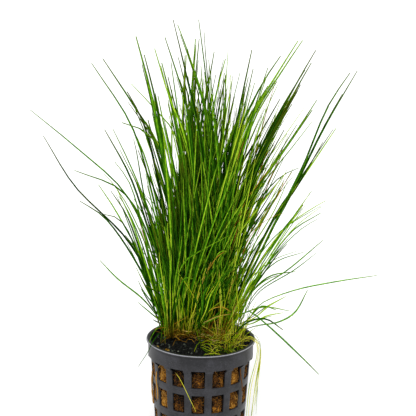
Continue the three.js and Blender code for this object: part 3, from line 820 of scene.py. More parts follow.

# %% [markdown]
# ## Dressing a row
# A row of plantlets is one mesh, which keeps the number of objects small. Every plantlet has a habit
# of its own, as the photograph shows it: the tone and the thickness of its measured stems, how full
# it is, and how many stems are twined with each measured one. The stems in the heart of the tuft
# are painted darker than those on its outside, as painted shade for the depth of the tuft, which is
# what lets single bright stems stand out. Each piece draws its random numbers from a seed of its
# own, so that a change to one piece leaves the others as they are.

# %% Grow stems
ROWS = 9
FULL = 8
FREE = 26
MOST_FREE = 1.5
FRONT_MORE = 0.8
FRONT_THIN = 1.1
YOUNG_PAGE = 3.1
HEART_PAGE = 4
TONE_SPREAD = 0.17
BRIGHTEST = 0.95
DRY = 1.0
YOUNGER_SIDE = (5, 6)
SUNNY_ACROSS = (214, 22)
SUNNY_DOWN = (150, 60)
PLAIN_HABIT = (0.45, 0.46, 1.0, 0)
HABITS = {
    "front_arc": (0.8, 0.31, 0.8, 0), "front_left": (0.5, 0.35, 1.0, 0),
    "front_middle": (0.5, 0.33, 1.0, 0), "front_right": (0.6, 0.33, 1.0, 0),
    "low_left": (0.45, 0.42, 0.6, 0), "far_left": (0.4, 0.48, 0.3, 3),
    "upper_left": (0.35, 0.56, 1.0, 2), "tall_left": (0.3, 0.62, 1.2, 1),
    "thick_bundle": (0.12, 0.6, 1.0, 4), "outer_right": (0.4, 0.7, 0.8, 1),
    "far_upper_right": (0.4, 0.62, 1.5, 1), "back_upper_right": (0.4, 0.58, 2.0, 0),
    "upper_right": (0.38, 0.58, 1.7, 1), "back_right": (0.6, 0.5, 1.5, 1),
    "side_right": (0.6, 0.5, 0.9, 2), "low_right": (0.5, 0.54, 0.2, 1),
    "back_low_right": (0.7, 0.46, 0.2, 1), "stray_left": (0.6, 0.4, 0.3, 0),
    "tall_middle": (0.35, 0.6, 3.2, 2), "tall_inner_left": (0.35, 0.58, 2.6, 2),
    "middle_fork": (0.35, 0.56, 2.6, 2), "middle_right": (0.4, 0.56, 2.2, 1),
    "inner_middle": (0.4, 0.54, 1.5, 0), "rear_middle": (0.4, 0.56, 2.0, 1),
    "rear_right": (0.6, 0.38, 1.4, 0), "hind_right": (0.55, 0.38, 1.4, 0),
    "arch_front_left": (0.5, 0.25, 1.0, 0), "arch_front_right": (0.5, 0.25, 1.0, 0),
    "arch_back_left": (0.35, 0.3, 1.0, 0), "arch_back_middle": (0.35, 0.3, 1.0, 0),
    "arch_back_right": (0.4, 0.3, 1.0, 0), "long_wavy": (0.5, 0.54, 1.0, 0),
    "down_right": (0.3, 0.56, 1.0, 0), "hanging_right": (0.36, 0.24, 1.0, 0),
    "rim_left": (0.5, 0.18, 1.0, 0), "young_front": (0.7, 0.2, 1.0, 0),
    "young_middle": (0.7, 0.2, 1.0, 0), "young_inner": (0.5, 0.2, 1.0, 0),
    "young_back": (0.6, 0.2, 1.0, 0), "inner_left": (0.45, 0.46, 1.3, 0),
    "back_inner_left": (0.45, 0.46, 1.3, 0), "back_middle": (0.45, 0.46, 1.3, 0),
    "heart_right": (0.45, 0.46, 1.3, 0), "heart_left": (0.45, 0.46, 0.8, 0),
}
LOOSE = {"side_right": (4.0, 0.75, 1.0), "low_right": (4.0, 0.75, 1.0),
         "back_right": (3.0, 0.75, 1.0), "back_low_right": (3.0, 0.75, 1.0),
         "far_left": (6.0, 0.35, 0.75), "upper_left": (4.0, 0.5, 0.85)}
CLOSE_BY = (1.0, 0.75, 1.0)
TWINED_THIN = 0.75
FREE_THIN = 0.9
GROWN_SPREAD = 0.25
FREE_STEM_SPREAD = 0.3
SEEDS = {**{f"stems_row_{page}": 100 + page for page in range(ROWS)},
         "stems_arching_front": 120, "stems_arching_back": 121, "stems_young": 130,
         "slot_stem_fine": 150, "young_tangle": 160, "young_hairs": 165, "root_tangle": 170,
         "dead_stems": 180, "golden_stems": 181, "granule_heap": 200, "wool_fibres": 220,
         "wool_strands": 230, "stems_long_wavy": 381, "stems_down_right": 382,
         "stems_hanging_right": 383, "stems_rim_left": 384}


def random_for(piece_name):
    return np.random.default_rng(SEEDS[piece_name])


def stem_radii(paths, thickness, rng, spread=0.16):
    """Thinner at the root, even for most of the length, then drawn out to a fine tip.

    The stems on the right, which are younger, are finer.
    """
    along = fractions(paths.shape[1])
    own = thickness * rng.uniform(1 - spread, 1 + spread, (len(paths), 1))
    younger = rise_from(paths[:, :1, 0], *YOUNGER_SIDE)
    root = 0.6 - 0.25 * younger
    swell = root + (1 - root) * np.minimum(along * (2.5 - 0.9 * younger), 1)
    return own * (1 - 0.2 * younger) * (swell - 0.64 * along ** 5)


def stem_piece(name, paths, radii, tones, material, rng, sides=5):
    points, faces, along, each = tubes(paths, radii, sides)
    turned = FULL_TURN * (np.arange(each) % sides) / sides
    # Painted light and shade round each stem: a cosine, turned at random, that lightens one side and
    # darkens the other.
    flank = np.cos(turned + rng.uniform(0, FULL_TURN, (len(paths), 1)))
    return mesh_piece(name, points, faces, material,
                      {"along": along, "tone": np.repeat(tones, each), "flank": flank.ravel()})


def own_tones(tone, count, rng):
    return np.clip(tone + rng.normal(0, TONE_SPREAD, count), 0, BRIGHTEST)


def stem_tones(paths, page, rng):
    """Darker stems in the heart of the tuft as painted shade, yellower ones low on its right, a few of
    them dry.
    """
    across, down = pixels_of(paths[:, paths.shape[1] // 3])
    sunny = rise_from(across, *SUNNY_ACROSS) * rise_from(down, *SUNNY_DOWN)
    # Painted shade: stems near the middle row are made darker, for the shade deep inside the tuft.
    heart = 0 if page is None else np.clip(1.2 - abs(page - HEART_PAGE) / 4, 0, 1)
    tones = rng.beta(0.4, 0.65, len(paths)) * 0.94 + 0.65 * sunny - 0.18 * heart
    tones = np.clip(tones, 0.7 * sunny, BRIGHTEST)
    tones[rng.random(len(paths)) < 0.006 + 0.07 * sunny] = DRY
    return tones


def row_piece(name, plantlets, slot="green_stems", material=green_stem, full=FULL, free=FREE,
              thin=0.34, sway=2.2, shortest=0.5):
    """One piece for a row of plantlets, standing for all of their solids."""
    rng = random_for(name)
    measured = [measured_paths(root, page, stems) for _, root, page, stems in plantlets]
    pool = np.concatenate(measured)
    paths, radii, tones = [], [], []

    def add(more, radius, shades, spread=0.16):
        paths.append(more)
        radii.append(stem_radii(more, radius, rng, spread))
        tones.append(shades)

    for (plantlet, _, page, _), own in zip(plantlets, measured):
        tone, thick, share, strokes = HABITS.get(plantlet, PLAIN_HABIT)
        add(own, thick, own_tones(tone, len(own), rng))
        beside = twined(own, strokes, *LOOSE.get(plantlet, CLOSE_BY), rng)
        add(beside, thick * TWINED_THIN, own_tones(tone, len(beside), rng))
        in_front = page is not None and page <= 1
        more = share * (FRONT_MORE if in_front else 1.0)
        fine = thin * (FRONT_THIN if in_front else 1.0)
        grown = grown_between(own, pool, page, round(full * more), rng, sway, shortest)
        add(grown, fine, stem_tones(grown, page, rng), GROWN_SPREAD)
        if page is not None:
            many = round(free * min(more, MOST_FREE))
            loose = free_stems(own, page if page >= -1 else YOUNG_PAGE, many, rng)
            add(loose, fine * FREE_THIN, stem_tones(loose, page, rng), FREE_STEM_SPREAD)
    piece = stem_piece(name, np.concatenate(paths), np.concatenate(radii),
                       np.concatenate(tones), material, rng)
    settle(piece, slot, *[f"plantlet_{plantlet}" for plantlet, _, _, _ in plantlets])


def on_page(plantlet):
    name, page, root_x, stems = plantlet
    return name, (root_x, PAGE_FRONT + PAGE_STEP * page), page, stems


def off_page(plantlet):
    name, root, stems = plantlet
    return name, tuple(root), None, stems


for page in range(ROWS):
    row_piece(f"stems_row_{page}", [on_page(one) for one in PLANTLETS if max(one[1], 0) == page])
row_piece("stems_arching_front", [off_page(one) for one in ARCHING[:2]])
row_piece("stems_arching_back", [off_page(one) for one in ARCHING[2:]])

# %% [markdown]
# ## Young and drooping stems
# The right side of the bed is crowded with young plantlets, finer and yellower than the rest. A few
# long stems bend over the rim, and one has found its way out through a slot of the pot.

# %% Young and drooping stems
row_piece("stems_young", [on_page(one) for one in YOUNG], "young_stems", young_stem,
          full=3, free=2, thin=0.2, sway=1.4)
for plantlet in DROOPING:
    hanging = plantlet[0] == "hanging_right"
    row_piece(f"stems_{plantlet[0]}", [off_page(plantlet)], "young_stems",
              young_stem if hanging else green_stem, full=4 if hanging else 0,
              thin=0.19, sway=1.4, shortest=0.75)


def slot_stem_piece():
    rng = random_for("slot_stem_fine")
    main = smooth_path([point_at_depth(*pixel) for pixel in SLOT_STEM], STEM_STEPS)[None]
    piece = stem_piece("slot_stem_fine", main, stem_radii(main, 0.15, rng), np.array([0.75]),
                       young_stem, rng)
    settle(piece, "young_stems", "slot_stem")


slot_stem_piece()

# %% [markdown]
# ## The tangle on the bed
# Between the crowns lie hundreds of hair-fine shoots and roots: a pale green moss of young shoots
# on the right, and brown and tan fibres round the crowns. Each is an arc that leaves the bed, rises
# a little and comes down again, so a few numbers per fibre are enough.

# %% Fine shoots and roots
INSIDE_RIM = 23.5
BED_REACH = 22.5
ABOVE_BED = 0.5
HAIR_COUNT = 60
MOSS_PLACES = [((12.0, -6.5), (5.5, 5.0), 130, 1.0)]
ROOT_PLACES = [((-9, 3.0), (3.0, 0.8), 24, 1.0), ((-4, 2.2), (4.5, 1.2), 44, 1.0),
               ((9, 1.5), (5, 2.5), 60, 1.0), ((-18.5, -7), (1.0, 1.2), 22, 0.3),
               ((0, 20), (9, 2), 50, 1.0)]


def arcs(starts, heading, length, rise, droop, steps=9):
    """Paths from the starts that go along their heading, rise and then droop."""
    along = fractions(steps)
    paths = starts[:, None, :] + on_circle(length[:, None] * along, heading[:, None], 0.0)
    paths[:, :, 2] += rise[:, None] * along - droop[:, None] * along ** 2
    return paths


def kept_in_pot(paths):
    """Fibres are held above the bed and inside the rim for as long as they are below it."""
    radius = np.linalg.norm(paths[:, :, :2], axis=2)
    low = paths[:, :, 2] < POT_HEIGHT + 1.2
    squeeze = np.where(low & (radius > INSIDE_RIM), INSIDE_RIM / np.maximum(radius, 1e-6), 1.0)
    paths[:, :, :2] *= squeeze[..., None]
    floor = bed_height(paths[:, :, 0], paths[:, :, 1]) + ABOVE_BED
    paths[:, :, 2] = np.maximum(paths[:, :, 2], floor)
    return paths


def scatter(rng, count, centre, spread):
    """Points of the bed round a centre, as an array of X, Y and the bed's height."""
    x = rng.normal(centre[0], spread[0], count)
    y = rng.normal(centre[1], spread[1], count)
    squeeze = np.minimum(1.0, BED_REACH / np.maximum(np.hypot(x, y), 1e-6))
    x = x * squeeze
    y = y * squeeze
    return np.stack([x, y, bed_height(x, y) + 0.4], axis=1)


def wandering(paths, play, rng):
    """The paths with a small wander of their own, kept in the pot."""
    return kept_in_pot(paths + np.cumsum(rng.normal(0, play, paths.shape), axis=1))


def hair_piece(name, slot, paths, radius, spread, shade, material, rng):
    """Four-sided fibres; shade is the two shapes of a beta spread of tones and its top."""
    radii = stem_radii(paths, radius, rng, spread)
    tones = rng.beta(shade[0], shade[1], len(paths)) * shade[2]
    settle(stem_piece(name, paths, radii, tones, material, rng, sides=4), slot)


def tangle(name, slot, material, places, rise, reach, droop, steps, play, shade, sideways):
    """Arcs about places, each a centre, a spread, a count and a size; roots run sideways."""
    rng = random_for(name)
    starts = np.concatenate([scatter(rng, count, centre, spread)
                             for centre, spread, count, _ in places])
    size = np.concatenate([np.full(count, size) for _, _, count, size in places])
    count = len(starts)
    rise = rng.uniform(*rise, count) * size
    if sideways:
        heading = np.pi * rng.integers(0, 2, count) + rng.normal(0, 0.5, count)
    else:
        heading = rng.uniform(0, FULL_TURN, count)
    paths = arcs(starts, heading, rng.uniform(*reach, count) * size, rise,
                 rise * rng.uniform(*droop, count), steps)
    hair_piece(name, slot, wandering(paths, play, rng), 0.16, 0.3, shade, material, rng)


def standing_hairs():
    """Thin living and dead shoots that stand between the moss and the right-hand crowns."""
    rng = random_for("young_hairs")
    starts = scatter(rng, HAIR_COUNT, (8.0, 0.0), (4.5, 3.0))
    lean = rng.normal(0.15, 0.75, HAIR_COUNT)
    rise = rng.uniform(4, 18, HAIR_COUNT) * np.cos(lean)
    paths = arcs(starts, np.where(lean > 0, 0, np.pi) + rng.normal(0, 0.5, HAIR_COUNT),
                 np.abs(np.tan(lean)) * rise, rise * 1.5, rise * 0.5)
    paths = wandering(paths, 0.22, rng)
    half = HAIR_COUNT // 2
    for name, slot, hairs, material in (("young_hairs", "young_stems", paths[:half], young_stem),
                                        ("dead_hairs", "green_stems", paths[half:], dead_stem)):
        hair_piece(name, slot, hairs, 0.15, 0.35, (0.6, 0.9, 0.9), material, rng)


tangle("young_tangle", "young_stems", young_stem, MOSS_PLACES, rise=(1, 10), reach=(3, 12),
       droop=(0.4, 1.1), steps=14, play=0.13, shade=(0.5, 0.5, BRIGHTEST), sideways=False)
standing_hairs()
tangle("root_tangle", "granules", dead_stem, ROOT_PLACES, rise=(2, 10), reach=(3, 10),
       droop=(0.4, 1.2), steps=12, play=0.16, shade=(0.7, 0.6, BRIGHTEST), sideways=True)

# %% [markdown]
# ## Dead and golden stems
# Some stems have died where they stand and are orange brown or tan, and some low in front are still
# alive but golden. They are left in, because they are what makes the tuft look grown and not
# combed. Each is read off the photograph: its page, its radius, its tone and its pixels from the
# tip down.

# %% Dead stems
DEAD = [
    (3.0, 0.26, 0.60, [137, 214, 140, 223, 148, 250]),
    (5.2, 0.24, 0.80, [284.3, 178.6, 280, 192, 267, 213, 256, 236]),
    (3.6, 0.24, 0.75, [252, 208, 245.7, 224.3, 237, 236, 226, 262]),
    (3.5, 0.28, 0.45, [267, 171.4, 255.7, 187, 245.7, 201.4, 232, 232]),
    (-1.4, 0.17, 0.85, [211, 262, 204, 279, 198, 296, 194, 312]),
    (-1.2, 0.17, 0.75, [203, 279, 212, 264, 218, 256, 224, 252]),
    (-2.4, 0.15, 0.70, [234, 280, 227, 296, 222, 312, 216, 322]),
    (1.4, 0.24, 0.70, [197, 108, 200, 140, 203, 190]),
    (-2.4, 0.24, 0.60, [182.4, 330.4, 189.1, 331.7, 199.8, 329.5]),
    (-2.6, 0.17, 0.80, [196, 326, 207, 321, 219, 316, 231, 314]),
    (-2.2, 0.2, 0.60, [187.3, 316.5, 178, 322, 167.7, 326.8, 153.4, 329]),
    (-2.8, 0.2, 0.70, [204, 318, 212, 309, 222, 307, 231, 312]),
    (-1.2, 0.22, 0.95, [193.6, 322, 188.7, 338]),
]
GOLDEN = [
    (-1.6, 0.18, 0.60, [178, 273, 184, 281, 191, 292, 196, 301]),
    (-1.8, 0.18, 0.70, [222, 274, 214, 290, 204, 308, 200, 318]),
    (-2.4, 0.18, 0.50, [219, 284, 214, 300, 212, 312, 205, 324]),
    (-2.2, 0.2, 0.75, [206, 268, 199, 290, 194, 312, 191, 333]),
    (-2.4, 0.2, 0.55, [214, 286, 205, 300, 198, 318, 194, 335]),
    (-2.6, 0.2, 0.80, [200, 292, 195, 308, 190, 322, 188, 336]),
    (-2.8, 0.18, 0.60, [224, 300, 212, 308, 203, 320, 197, 336]),
    (-2.2, 0.2, 0.50, [190, 270, 189, 290, 188, 312, 188, 334]),
    (-2.4, 0.18, 0.80, [196, 282, 193, 298, 191, 316, 190, 335]),
    (-2.0, 0.2, 0.65, [178, 290, 182, 304, 185, 320, 187, 335]),
    (-2.6, 0.18, 0.45, [216, 272, 208, 290, 199, 312, 193, 334]),
    (-2.3, 0.2, 0.70, [170, 288, 168, 302, 167, 318, 168, 333]),
    (-2.5, 0.18, 0.60, [176, 282, 173, 298, 171, 316, 170, 334]),
    (-2.1, 0.2, 0.50, [164, 276, 165, 296, 166, 316, 167, 333]),
]


def drawn_stems(name, table, material, slot):
    """One piece for a table of stems, each thinner towards its tip."""
    paths = np.array([smooth_path(points_on_page(pixels, page), STEM_STEPS)
                      for page, _, _, pixels in table])
    thickness = np.array([radius for _, radius, _, _ in table])[:, None]
    radii = thickness * (1 - 0.5 * fractions(STEM_STEPS) ** 2)
    tones = np.array([tone for _, _, tone, _ in table])
    settle(stem_piece(name, paths, radii, tones, material, random_for(name)), slot)


drawn_stems("dead_stems", DEAD, dead_stem, "green_stems")
drawn_stems("golden_stems", GOLDEN, young_stem, "young_stems")

# %% [markdown]
# ## The bed of granules
# The top layer is a heap of small baked granules. Under them lies a closed mound of the same
# material, so that no gap shows, and on it sit flat-shaded lumps of a few sizes, pressed into the
# mound by half. One mesh holds all of them.

# %% Granule bed
BED_BOTTOM = 41.8
BED_RADIUS = 23.6
MOUND_RINGS = 26
MOUND_TURNS = 72
MOUND_SINK = 0.45
GRANULE_COUNT = 2300
GRANULE_REACH = 22.9
GRANULE_SIZES = (0.3, 0.68)
BIG_SHARE = 0.15
BIG_SIZE = 1.4
GOLDEN_ANGLE = math.pi * (3 - math.sqrt(5))


def mound():
    """A closed body with the bed's outline, a little below the granules."""
    angles = even_angles(MOUND_TURNS)
    reach = BED_RADIUS * np.arange(1, MOUND_RINGS + 1)[:, None] / MOUND_RINGS
    top = np.concatenate([[[0.0, 0.0, 0.0]], on_circle(reach, angles, 0.0).reshape(-1, 3)])
    top[:, 2] = bed_height(top[:, 0], top[:, 1]) - MOUND_SINK
    grid, onward = ring_grid(MOUND_RINGS + 1, MOUND_TURNS, 1)
    faces = faces_of(0, grid[0], onward[0])
    faces += faces_of(grid[:-1], grid[1:], onward[1:], onward[:-1])
    faces.append(grid[-1, ::-1].tolist())
    return np.concatenate([top, on_circle(BED_RADIUS, angles, BED_BOTTOM)]), faces


def lump():
    """The points and faces of an icosahedron of unit radius."""
    shape = bmesh.new()
    bmesh.ops.create_icosphere(shape, subdivisions=1, radius=1.0)
    points = np.array([vertex.co[:] for vertex in shape.verts])
    faces = [[vertex.index for vertex in face.verts] for face in shape.faces]
    shape.free()
    return points, faces


def granules():
    rng = random_for("granule_heap")
    count = GRANULE_COUNT
    corners, sides = lump()
    order = np.arange(count) + 0.5
    radius = GRANULE_REACH * np.sqrt(order / count) + rng.normal(0, 0.25, count)
    turn = order * GOLDEN_ANGLE + rng.normal(0, 0.1, count)
    places = on_circle(np.minimum(radius, GRANULE_REACH), turn, 0.0)
    size = rng.uniform(*GRANULE_SIZES, count)
    size = size * np.where(rng.random(count) < BIG_SHARE, BIG_SIZE, 1.0)
    lift = rng.uniform(-0.3, 0.35, count) - 0.35
    places[:, 2] = np.maximum(bed_height(places[:, 0], places[:, 1]) + lift, BED_BOTTOM + 0.9)
    shape = corners[None] * (1 + rng.uniform(-0.28, 0.28, (count, len(corners), 1)))
    shape = shape * size[:, None, None] * rng.uniform(0.7, 1.15, (count, 1, 3))
    lumps = shape + places[:, None, :]
    points, faces = mound()
    base = len(points)
    starts = base + np.arange(count)[:, None, None] * len(corners)
    faces += (starts + np.array(sides)).reshape(-1, 3).tolist()
    points = np.concatenate([points, lumps.reshape(-1, 3)])
    tones = np.concatenate([np.full(base, 0.1), np.repeat(rng.beta(1.4, 2.2, count), len(corners))])
    piece = mesh_piece("granule_heap", points, faces, granule, {"tone": tones}, smooth=False)
    settle(piece, "granules", "granule_bed")


granules()

# %% [markdown]
# ## The slotted pot
# The wall is a ring of cells in angle and height. Leaving out the cells of the slots and joining
# the outer and the inner skin along every edge gives a closed moulding, and a small bevel rounds
# its edges as a mould does. The floor is made the same way from rings and angles.

# %% Pot
WALL = 1.0
POT_FLOOR = 1.2
BASE_RADIUS = 21.1
WALL_TOP = 40.2
WALL_TOP_RADIUS = 23.7
COLLAR_RADIUS = 25.1
COLLAR_HEIGHTS = [41.4, 44.0, 46.5, 48.7]
LIP = [(49.0, 25.15), (49.25, 26.0), (49.75, 26.0), (POT_HEIGHT, 25.65)]
SLOT_COLUMNS = 15
SLOT_PITCH = FULL_TURN / SLOT_COLUMNS
SLOT_START = -math.pi / 2 + math.radians(-2.1)
SLOT_WIDTH = 6.1
SLOT_HEIGHT = 9.1
SLOT_TOPS = [42.2, 29.3, 16.4]
SLOT_CELLS = 6
BAR_CELLS = 4
DRAIN_PITCH = FULL_TURN / 6
DRAIN_HALF = math.radians(6.1)
DRAIN_RADII = (9, 17)
FLOOR_CELLS = 120
FLOOR_RADII = [0.4, 3, 6, 9, 11, 13, 15, 17, 19, BASE_RADIUS - WALL + 0.4]
BEVEL = 0.16
SHARP_EDGE = math.radians(30)
SHARP_SHADE = math.radians(34)


def wall_radius(height):
    return BASE_RADIUS + (WALL_TOP_RADIUS - BASE_RADIUS) * height / WALL_TOP


SLOT_HALF = SLOT_WIDTH / 2 / wall_radius(SLOT_TOPS[1])


def thick_grid(outer, inner, solid):
    """A closed ring-shaped body from two skins of (rows, turns, 3) points and the cells to keep."""
    grid, onward = ring_grid(*outer.shape[:2])
    back = grid.size
    a, b, c, d = grid[:-1], onward[:-1], onward[1:], grid[1:]
    faces = faces_of(a[solid], b[solid], c[solid], d[solid])
    faces += faces_of(back + d[solid], back + c[solid], back + b[solid], back + a[solid])
    beyond = np.zeros((1, solid.shape[1]), dtype=bool)
    for neighbour, start, end in ((np.concatenate([beyond, solid[:-1]]), b, a),
                                  (np.concatenate([solid[1:], beyond]), d, c),
                                  (np.roll(solid, 1, axis=1), a, d),
                                  (np.roll(solid, -1, axis=1), c, b)):
        edge = solid & ~neighbour
        faces += faces_of(start[edge], end[edge], back + end[edge], back + start[edge])
    return np.concatenate([outer.reshape(-1, 3), inner.reshape(-1, 3)]), faces


def around(radii, heights, angles):
    """Points of shape (rows, turns, 3) with a radius and a height for each row."""
    return on_circle(np.asarray(radii)[:, None], angles[None], np.asarray(heights)[:, None])


def wall_rows():
    """Heights of the rows with the outer and inner radius at each."""
    edges = sorted(SLOT_TOPS + [top - SLOT_HEIGHT for top in SLOT_TOPS])
    heights = [0.0, WALL_TOP, *COLLAR_HEIGHTS]
    for low, high in zip([0.0, *edges], edges):
        steps = 3 if high - low > 5 else 2
        heights.extend(low + (high - low) * step / steps for step in range(1, steps + 1))
    heights.sort()
    outer = [wall_radius(z) if z <= WALL_TOP else COLLAR_RADIUS for z in heights]
    inner = [radius - WALL for radius in outer] + [COLLAR_RADIUS - WALL] * len(LIP)
    return heights + [z for z, _ in LIP], outer + [radius for _, radius in LIP], inner


def pot_wall():
    heights, outer, inner = wall_rows()
    half = math.asin(SLOT_HALF)
    angles = []
    for index in range(SLOT_COLUMNS):
        middle = SLOT_START + index * SLOT_PITCH
        angles.extend(middle - half + 2 * half * np.arange(SLOT_CELLS) / SLOT_CELLS)
        angles.extend(middle + half + (SLOT_PITCH - 2 * half) * np.arange(BAR_CELLS) / BAR_CELLS)
    in_bar = np.tile([False] * SLOT_CELLS + [True] * BAR_CELLS, SLOT_COLUMNS)
    solid = np.ones((len(heights) - 1, len(angles)), dtype=bool)
    for row, (low, high) in enumerate(zip(heights, heights[1:])):
        centre = (low + high) / 2
        if any(top - SLOT_HEIGHT < centre < top for top in SLOT_TOPS):
            solid[row] = in_bar
    angles = np.array(angles)
    return thick_grid(around(outer, heights, angles), around(inner, heights, angles), solid)


def pot_floor():
    angles = even_angles(FLOOR_CELLS)
    middles = angles + np.pi / FLOOR_CELLS - np.pi / 2
    off_drain = np.abs((middles + DRAIN_PITCH / 2) % DRAIN_PITCH - DRAIN_PITCH / 2) >= DRAIN_HALF
    solid = np.ones((len(FLOOR_RADII) - 1, len(angles)), dtype=bool)
    for row, (low, high) in enumerate(zip(FLOOR_RADII, FLOOR_RADII[1:])):
        if low >= DRAIN_RADII[0] and high <= DRAIN_RADII[1]:
            solid[row] = off_drain
    upper = around(FLOOR_RADII, [POT_FLOOR] * len(FLOOR_RADII), angles)
    lower = around(FLOOR_RADII, [0.0] * len(FLOOR_RADII), angles)
    return thick_grid(lower, upper, solid)


def pot_piece():
    wall_points, wall_faces = pot_wall()
    floor_points, floor_faces = pot_floor()
    points = np.concatenate([wall_points, floor_points])
    faces = wall_faces + [[corner + len(wall_points) for corner in face] for face in floor_faces]
    piece = mesh_piece("slotted_pot", points, faces, pot_plastic, smooth=False)
    shape = bmesh.new()
    shape.from_mesh(piece.data)
    bmesh.ops.delete(shape, geom=[vertex for vertex in shape.verts if not vertex.link_faces],
                     context="VERTS")
    shape.normal_update()
    sharp = [edge for edge in shape.edges
             if len(edge.link_faces) == 2 and edge.calc_face_angle() > SHARP_EDGE]
    bmesh.ops.bevel(shape, geom=sharp, offset=BEVEL * MM, segments=2, profile=0.6,
                    affect="EDGES", clamp_overlap=True)
    shape.to_mesh(piece.data)
    shape.free()
    piece.data.polygons.foreach_set("use_smooth", np.full(len(piece.data.polygons), True))
    piece.data.set_sharp_from_angle(angle=SHARP_SHADE)
    settle(piece, "pot", "pot")


pot_piece()

# %% [markdown]
# ## Rock wool in the slots
# The roots stand in a plug of rock wool that presses against the wall and bulges into the slots.
# Its skin is a fine grid pushed in and out by noise, and hundreds of curly fibres stand off it
# where a slot leaves room.

# %% Rock wool
COLUMN_GOLD = [0.42, 0.5, 0.85, 0.6, 0.4, 0.7, 0.5, 0.3, 0.6, 0.8, 0.5, 0.4, 0.7, 0.95, 0.3]
WOOL_TURNS = 450
WOOL_ROWS = 150
WOOL_BOTTOM = 1.7
WOOL_TOP = 41.3
LUMP_SCALE = 0.42
FLUFF_SCALE = 1.7
SUNK = 0.35
BULGE = 1.5
FLUFF = 0.28
FIBRES_PER_SLOT = 42
FIBRE_STEPS = 7
FIBRE_RADIUS = 0.075
WOOL_STRANDS = [
    (0.30, 0.90, [[156.5, 371.5, -11.6], [156.2, 380, -11.6], [157.6, 390, -11.2],
                  [157.8, 399, -10.9]]),
    (0.45, 0.80, [[152.6, 371, -4.0], [152.0, 380, -4.2], [152.3, 390, -4.0],
                  [153.6, 403, -3.6]]),
    (0.30, 0.30, [[240.3, 368.4, -15.0], [240.9, 377, -15.1], [242.0, 384, -14.6],
                  [242.3, 391, -14.2]]),
]


def wool_bulge(angle, height):
    """How far the wool is pressed out into a slot, 0 behind a bar and 1 in a slot's middle."""
    across = np.abs((angle - SLOT_START + SLOT_PITCH / 2) % SLOT_PITCH - SLOT_PITCH / 2)
    sideways = rise_from(-across, -0.98 * SLOT_HALF, 0.35 * SLOT_HALF)
    upwards = np.zeros_like(height)
    for top in SLOT_TOPS:
        fallen = (top - height) / SLOT_HEIGHT
        inside = (fallen > 0.02) & (fallen < 0.985)
        upwards = np.where(inside, np.clip(0.1 + 1.5 * fallen, 0, 1), upwards)
    return sideways * upwards


def clouds(points, scale, octaves):
    """Fractal noise at each point of a grid, roughly -1 to 1."""
    values = [noise.fractal(Vector(point) * scale, 1.0, 2.0, octaves)
              for point in points.reshape(-1, 3).tolist()]
    return np.array(values).reshape(points.shape[:2])


def gold_at(angle):
    """The shade of the wool at each angle, from one value per column of slots."""
    place = (angle - SLOT_START) / SLOT_PITCH % SLOT_COLUMNS
    return np.interp(place, np.arange(SLOT_COLUMNS + 1), [*COLUMN_GOLD, COLUMN_GOLD[0]])


def wool_skin():
    heights = np.linspace(WOOL_BOTTOM, WOOL_TOP, WOOL_ROWS)
    angle, height = np.meshgrid(even_angles(WOOL_TURNS), heights)
    base = wall_radius(np.minimum(height, WALL_TOP)) - WALL - GAP
    even_skin = on_circle(base, angle, height)
    lumps = clouds(even_skin, LUMP_SCALE, 4)
    fluff = clouds(even_skin, FLUFF_SCALE, 3)
    shown = wool_bulge(angle, height)
    radius = base - SUNK + BULGE * shown * (0.8 + 0.4 * lumps) + FLUFF * fluff
    radius = np.minimum(radius, base + WALL + GAP - 0.05)
    points = np.concatenate([on_circle(radius, angle, height).reshape(-1, 3),
                             [[0, 0, WOOL_BOTTOM], [0, 0, WOOL_TOP]]])
    grid, onward = ring_grid(WOOL_ROWS, WOOL_TURNS)
    faces = faces_of(grid[:-1], onward[:-1], onward[1:], grid[1:])
    faces += faces_of(onward[0], grid[0], grid.size)
    faces += faces_of(grid[-1], onward[-1], grid.size + 1)
    # Each column's stain, less a painted shade where the wool lies back: at the top of each slot, under
    # the bar, and behind the bars.
    gold = np.append((gold_at(angle) - 0.5 * (1 - shown)).ravel(), [0.5, 0.5])
    piece = mesh_piece("wool_plug_skin", points, faces, rock_wool, {"gold": gold})
    settle(piece, "rock_wool", "wool_plug")


def slot_fibres(middle, top, rng):
    """Curls that stand off the wool in one slot, as paths."""
    one_each = (FIBRES_PER_SLOT, 1)
    angle = middle + rng.uniform(-0.8, 0.8, one_each) * SLOT_HALF
    height = top - SLOT_HEIGHT * rng.uniform(0.12, 0.97, one_each)
    along = fractions(FIBRE_STEPS)
    turn = rng.uniform(0, FULL_TURN, one_each)
    length = rng.uniform(0.8, 3.4, one_each)
    turn = turn + rng.uniform(-2.6, 2.6, one_each) * along
    sideways = length * along * np.cos(turn)
    upwards = length * along * np.sin(turn) - 0.5 * length * along ** 2
    held = wall_radius(height) - WALL + 0.1
    stand = held + 0.75 * np.sin(np.pi * along) * rng.uniform(0.1, 1.0, one_each)
    side = SLOT_HALF * 0.93
    place = np.clip(angle + sideways / held, middle - side, middle + side)
    return on_circle(stand, place, np.clip(height + upwards, top - SLOT_HEIGHT + 0.2, top - 0.3))


def wool_fibres():
    rng = random_for("wool_fibres")
    paths, tones = [], []
    for index in range(SLOT_COLUMNS):
        for top in SLOT_TOPS:
            paths.append(slot_fibres(SLOT_START + index * SLOT_PITCH, top, rng))
            tones.append(COLUMN_GOLD[index] * 0.8 + rng.normal(0, 0.22, FIBRES_PER_SLOT))
    paths = np.concatenate(paths)
    radii = np.full(paths.shape[:2], FIBRE_RADIUS) * rng.uniform(0.6, 1.5, (len(paths), 1))
    tones = np.clip(np.concatenate(tones), 0, 1)
    settle(stem_piece("wool_fibres", paths, radii, tones, wool_fibre, rng, sides=3), "rock_wool")


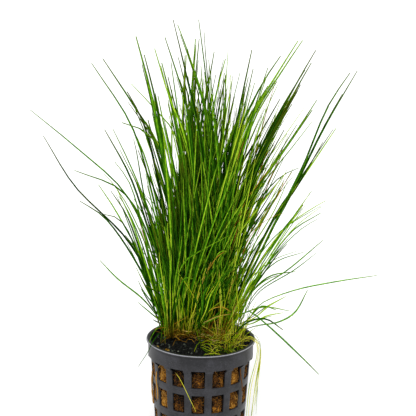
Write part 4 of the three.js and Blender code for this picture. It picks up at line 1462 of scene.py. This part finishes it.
def wool_strands():
    """Three thick strands that hang outside the wall, one pixel path each."""
    rng = random_for("wool_strands")
    paths = np.array([smooth_path([point_at_depth(*pixel) for pixel in pixels], 12)
                      for _, _, pixels in WOOL_STRANDS])
    radii = np.array([radius for radius, _, _ in WOOL_STRANDS])[:, None]
    radii = radii * rng.uniform(0.7, 1.15, paths.shape[:2])
    tones = np.array([tone for _, tone, _ in WOOL_STRANDS])
    settle(stem_piece("wool_strands", paths, radii, tones, wool_fibre, rng), "rock_wool")


wool_skin()
wool_fibres()
wool_strands()

# %% [markdown]
# ## Studio
# The photograph is cut out on white. A pale floor that runs far behind the pot and a white sky give
# the same ground, and one broad soft sun stands high in front, a little to the left.

# %% Floor, sky and lights
WHITE = (1.0, 1.0, 1.0, 1.0)
FLOOR_SHADE = (0.93, 0.93, 0.93, 1.0)
FLOOR_REACH = 9000.0
FLOOR_GLOW = 0.25
SKY_STRENGTH = 0.62
SUN_HEADING = math.radians(-92)
SUN_HEIGHT = math.radians(54)
SUN_SOFTNESS = math.radians(36)
SUN_STRENGTH = 2.2


def studio():
    material, _, shader = new_material("studio floor", FLOOR_SHADE, 0.9, 0.1)
    shader.inputs["Emission Color"].default_value = WHITE
    shader.inputs["Emission Strength"].default_value = FLOOR_GLOW
    corners = np.array([[-1, -1, 0], [1, -1, 0], [1, 1, 0], [-1, 1, 0]]) * FLOOR_REACH
    mesh_piece("floor", corners, [[0, 1, 2, 3]], material, held=False)
    world = bpy.data.worlds.new("studio sky")
    world.use_nodes = True
    background = world.node_tree.nodes["Background"]
    background.inputs["Color"].default_value = WHITE
    background.inputs["Strength"].default_value = SKY_STRENGTH
    bpy.context.scene.world = world


def key_light():
    data = bpy.data.lights.new("key light", "SUN")
    data.angle = SUN_SOFTNESS
    data.energy = SUN_STRENGTH
    light = bpy.data.objects.new("key light", data)
    towards = Vector((math.cos(SUN_HEADING) * math.cos(SUN_HEIGHT),
                      math.sin(SUN_HEADING) * math.cos(SUN_HEIGHT), math.sin(SUN_HEIGHT)))
    light.rotation_euler = towards.to_track_quat("Z", "Y").to_euler()
    bpy.context.collection.objects.link(light)


studio()
key_light()
bpy.context.scene.view_settings.view_transform = "Standard"
bpy.context.scene.view_settings.look = "None"
print("studio ready")
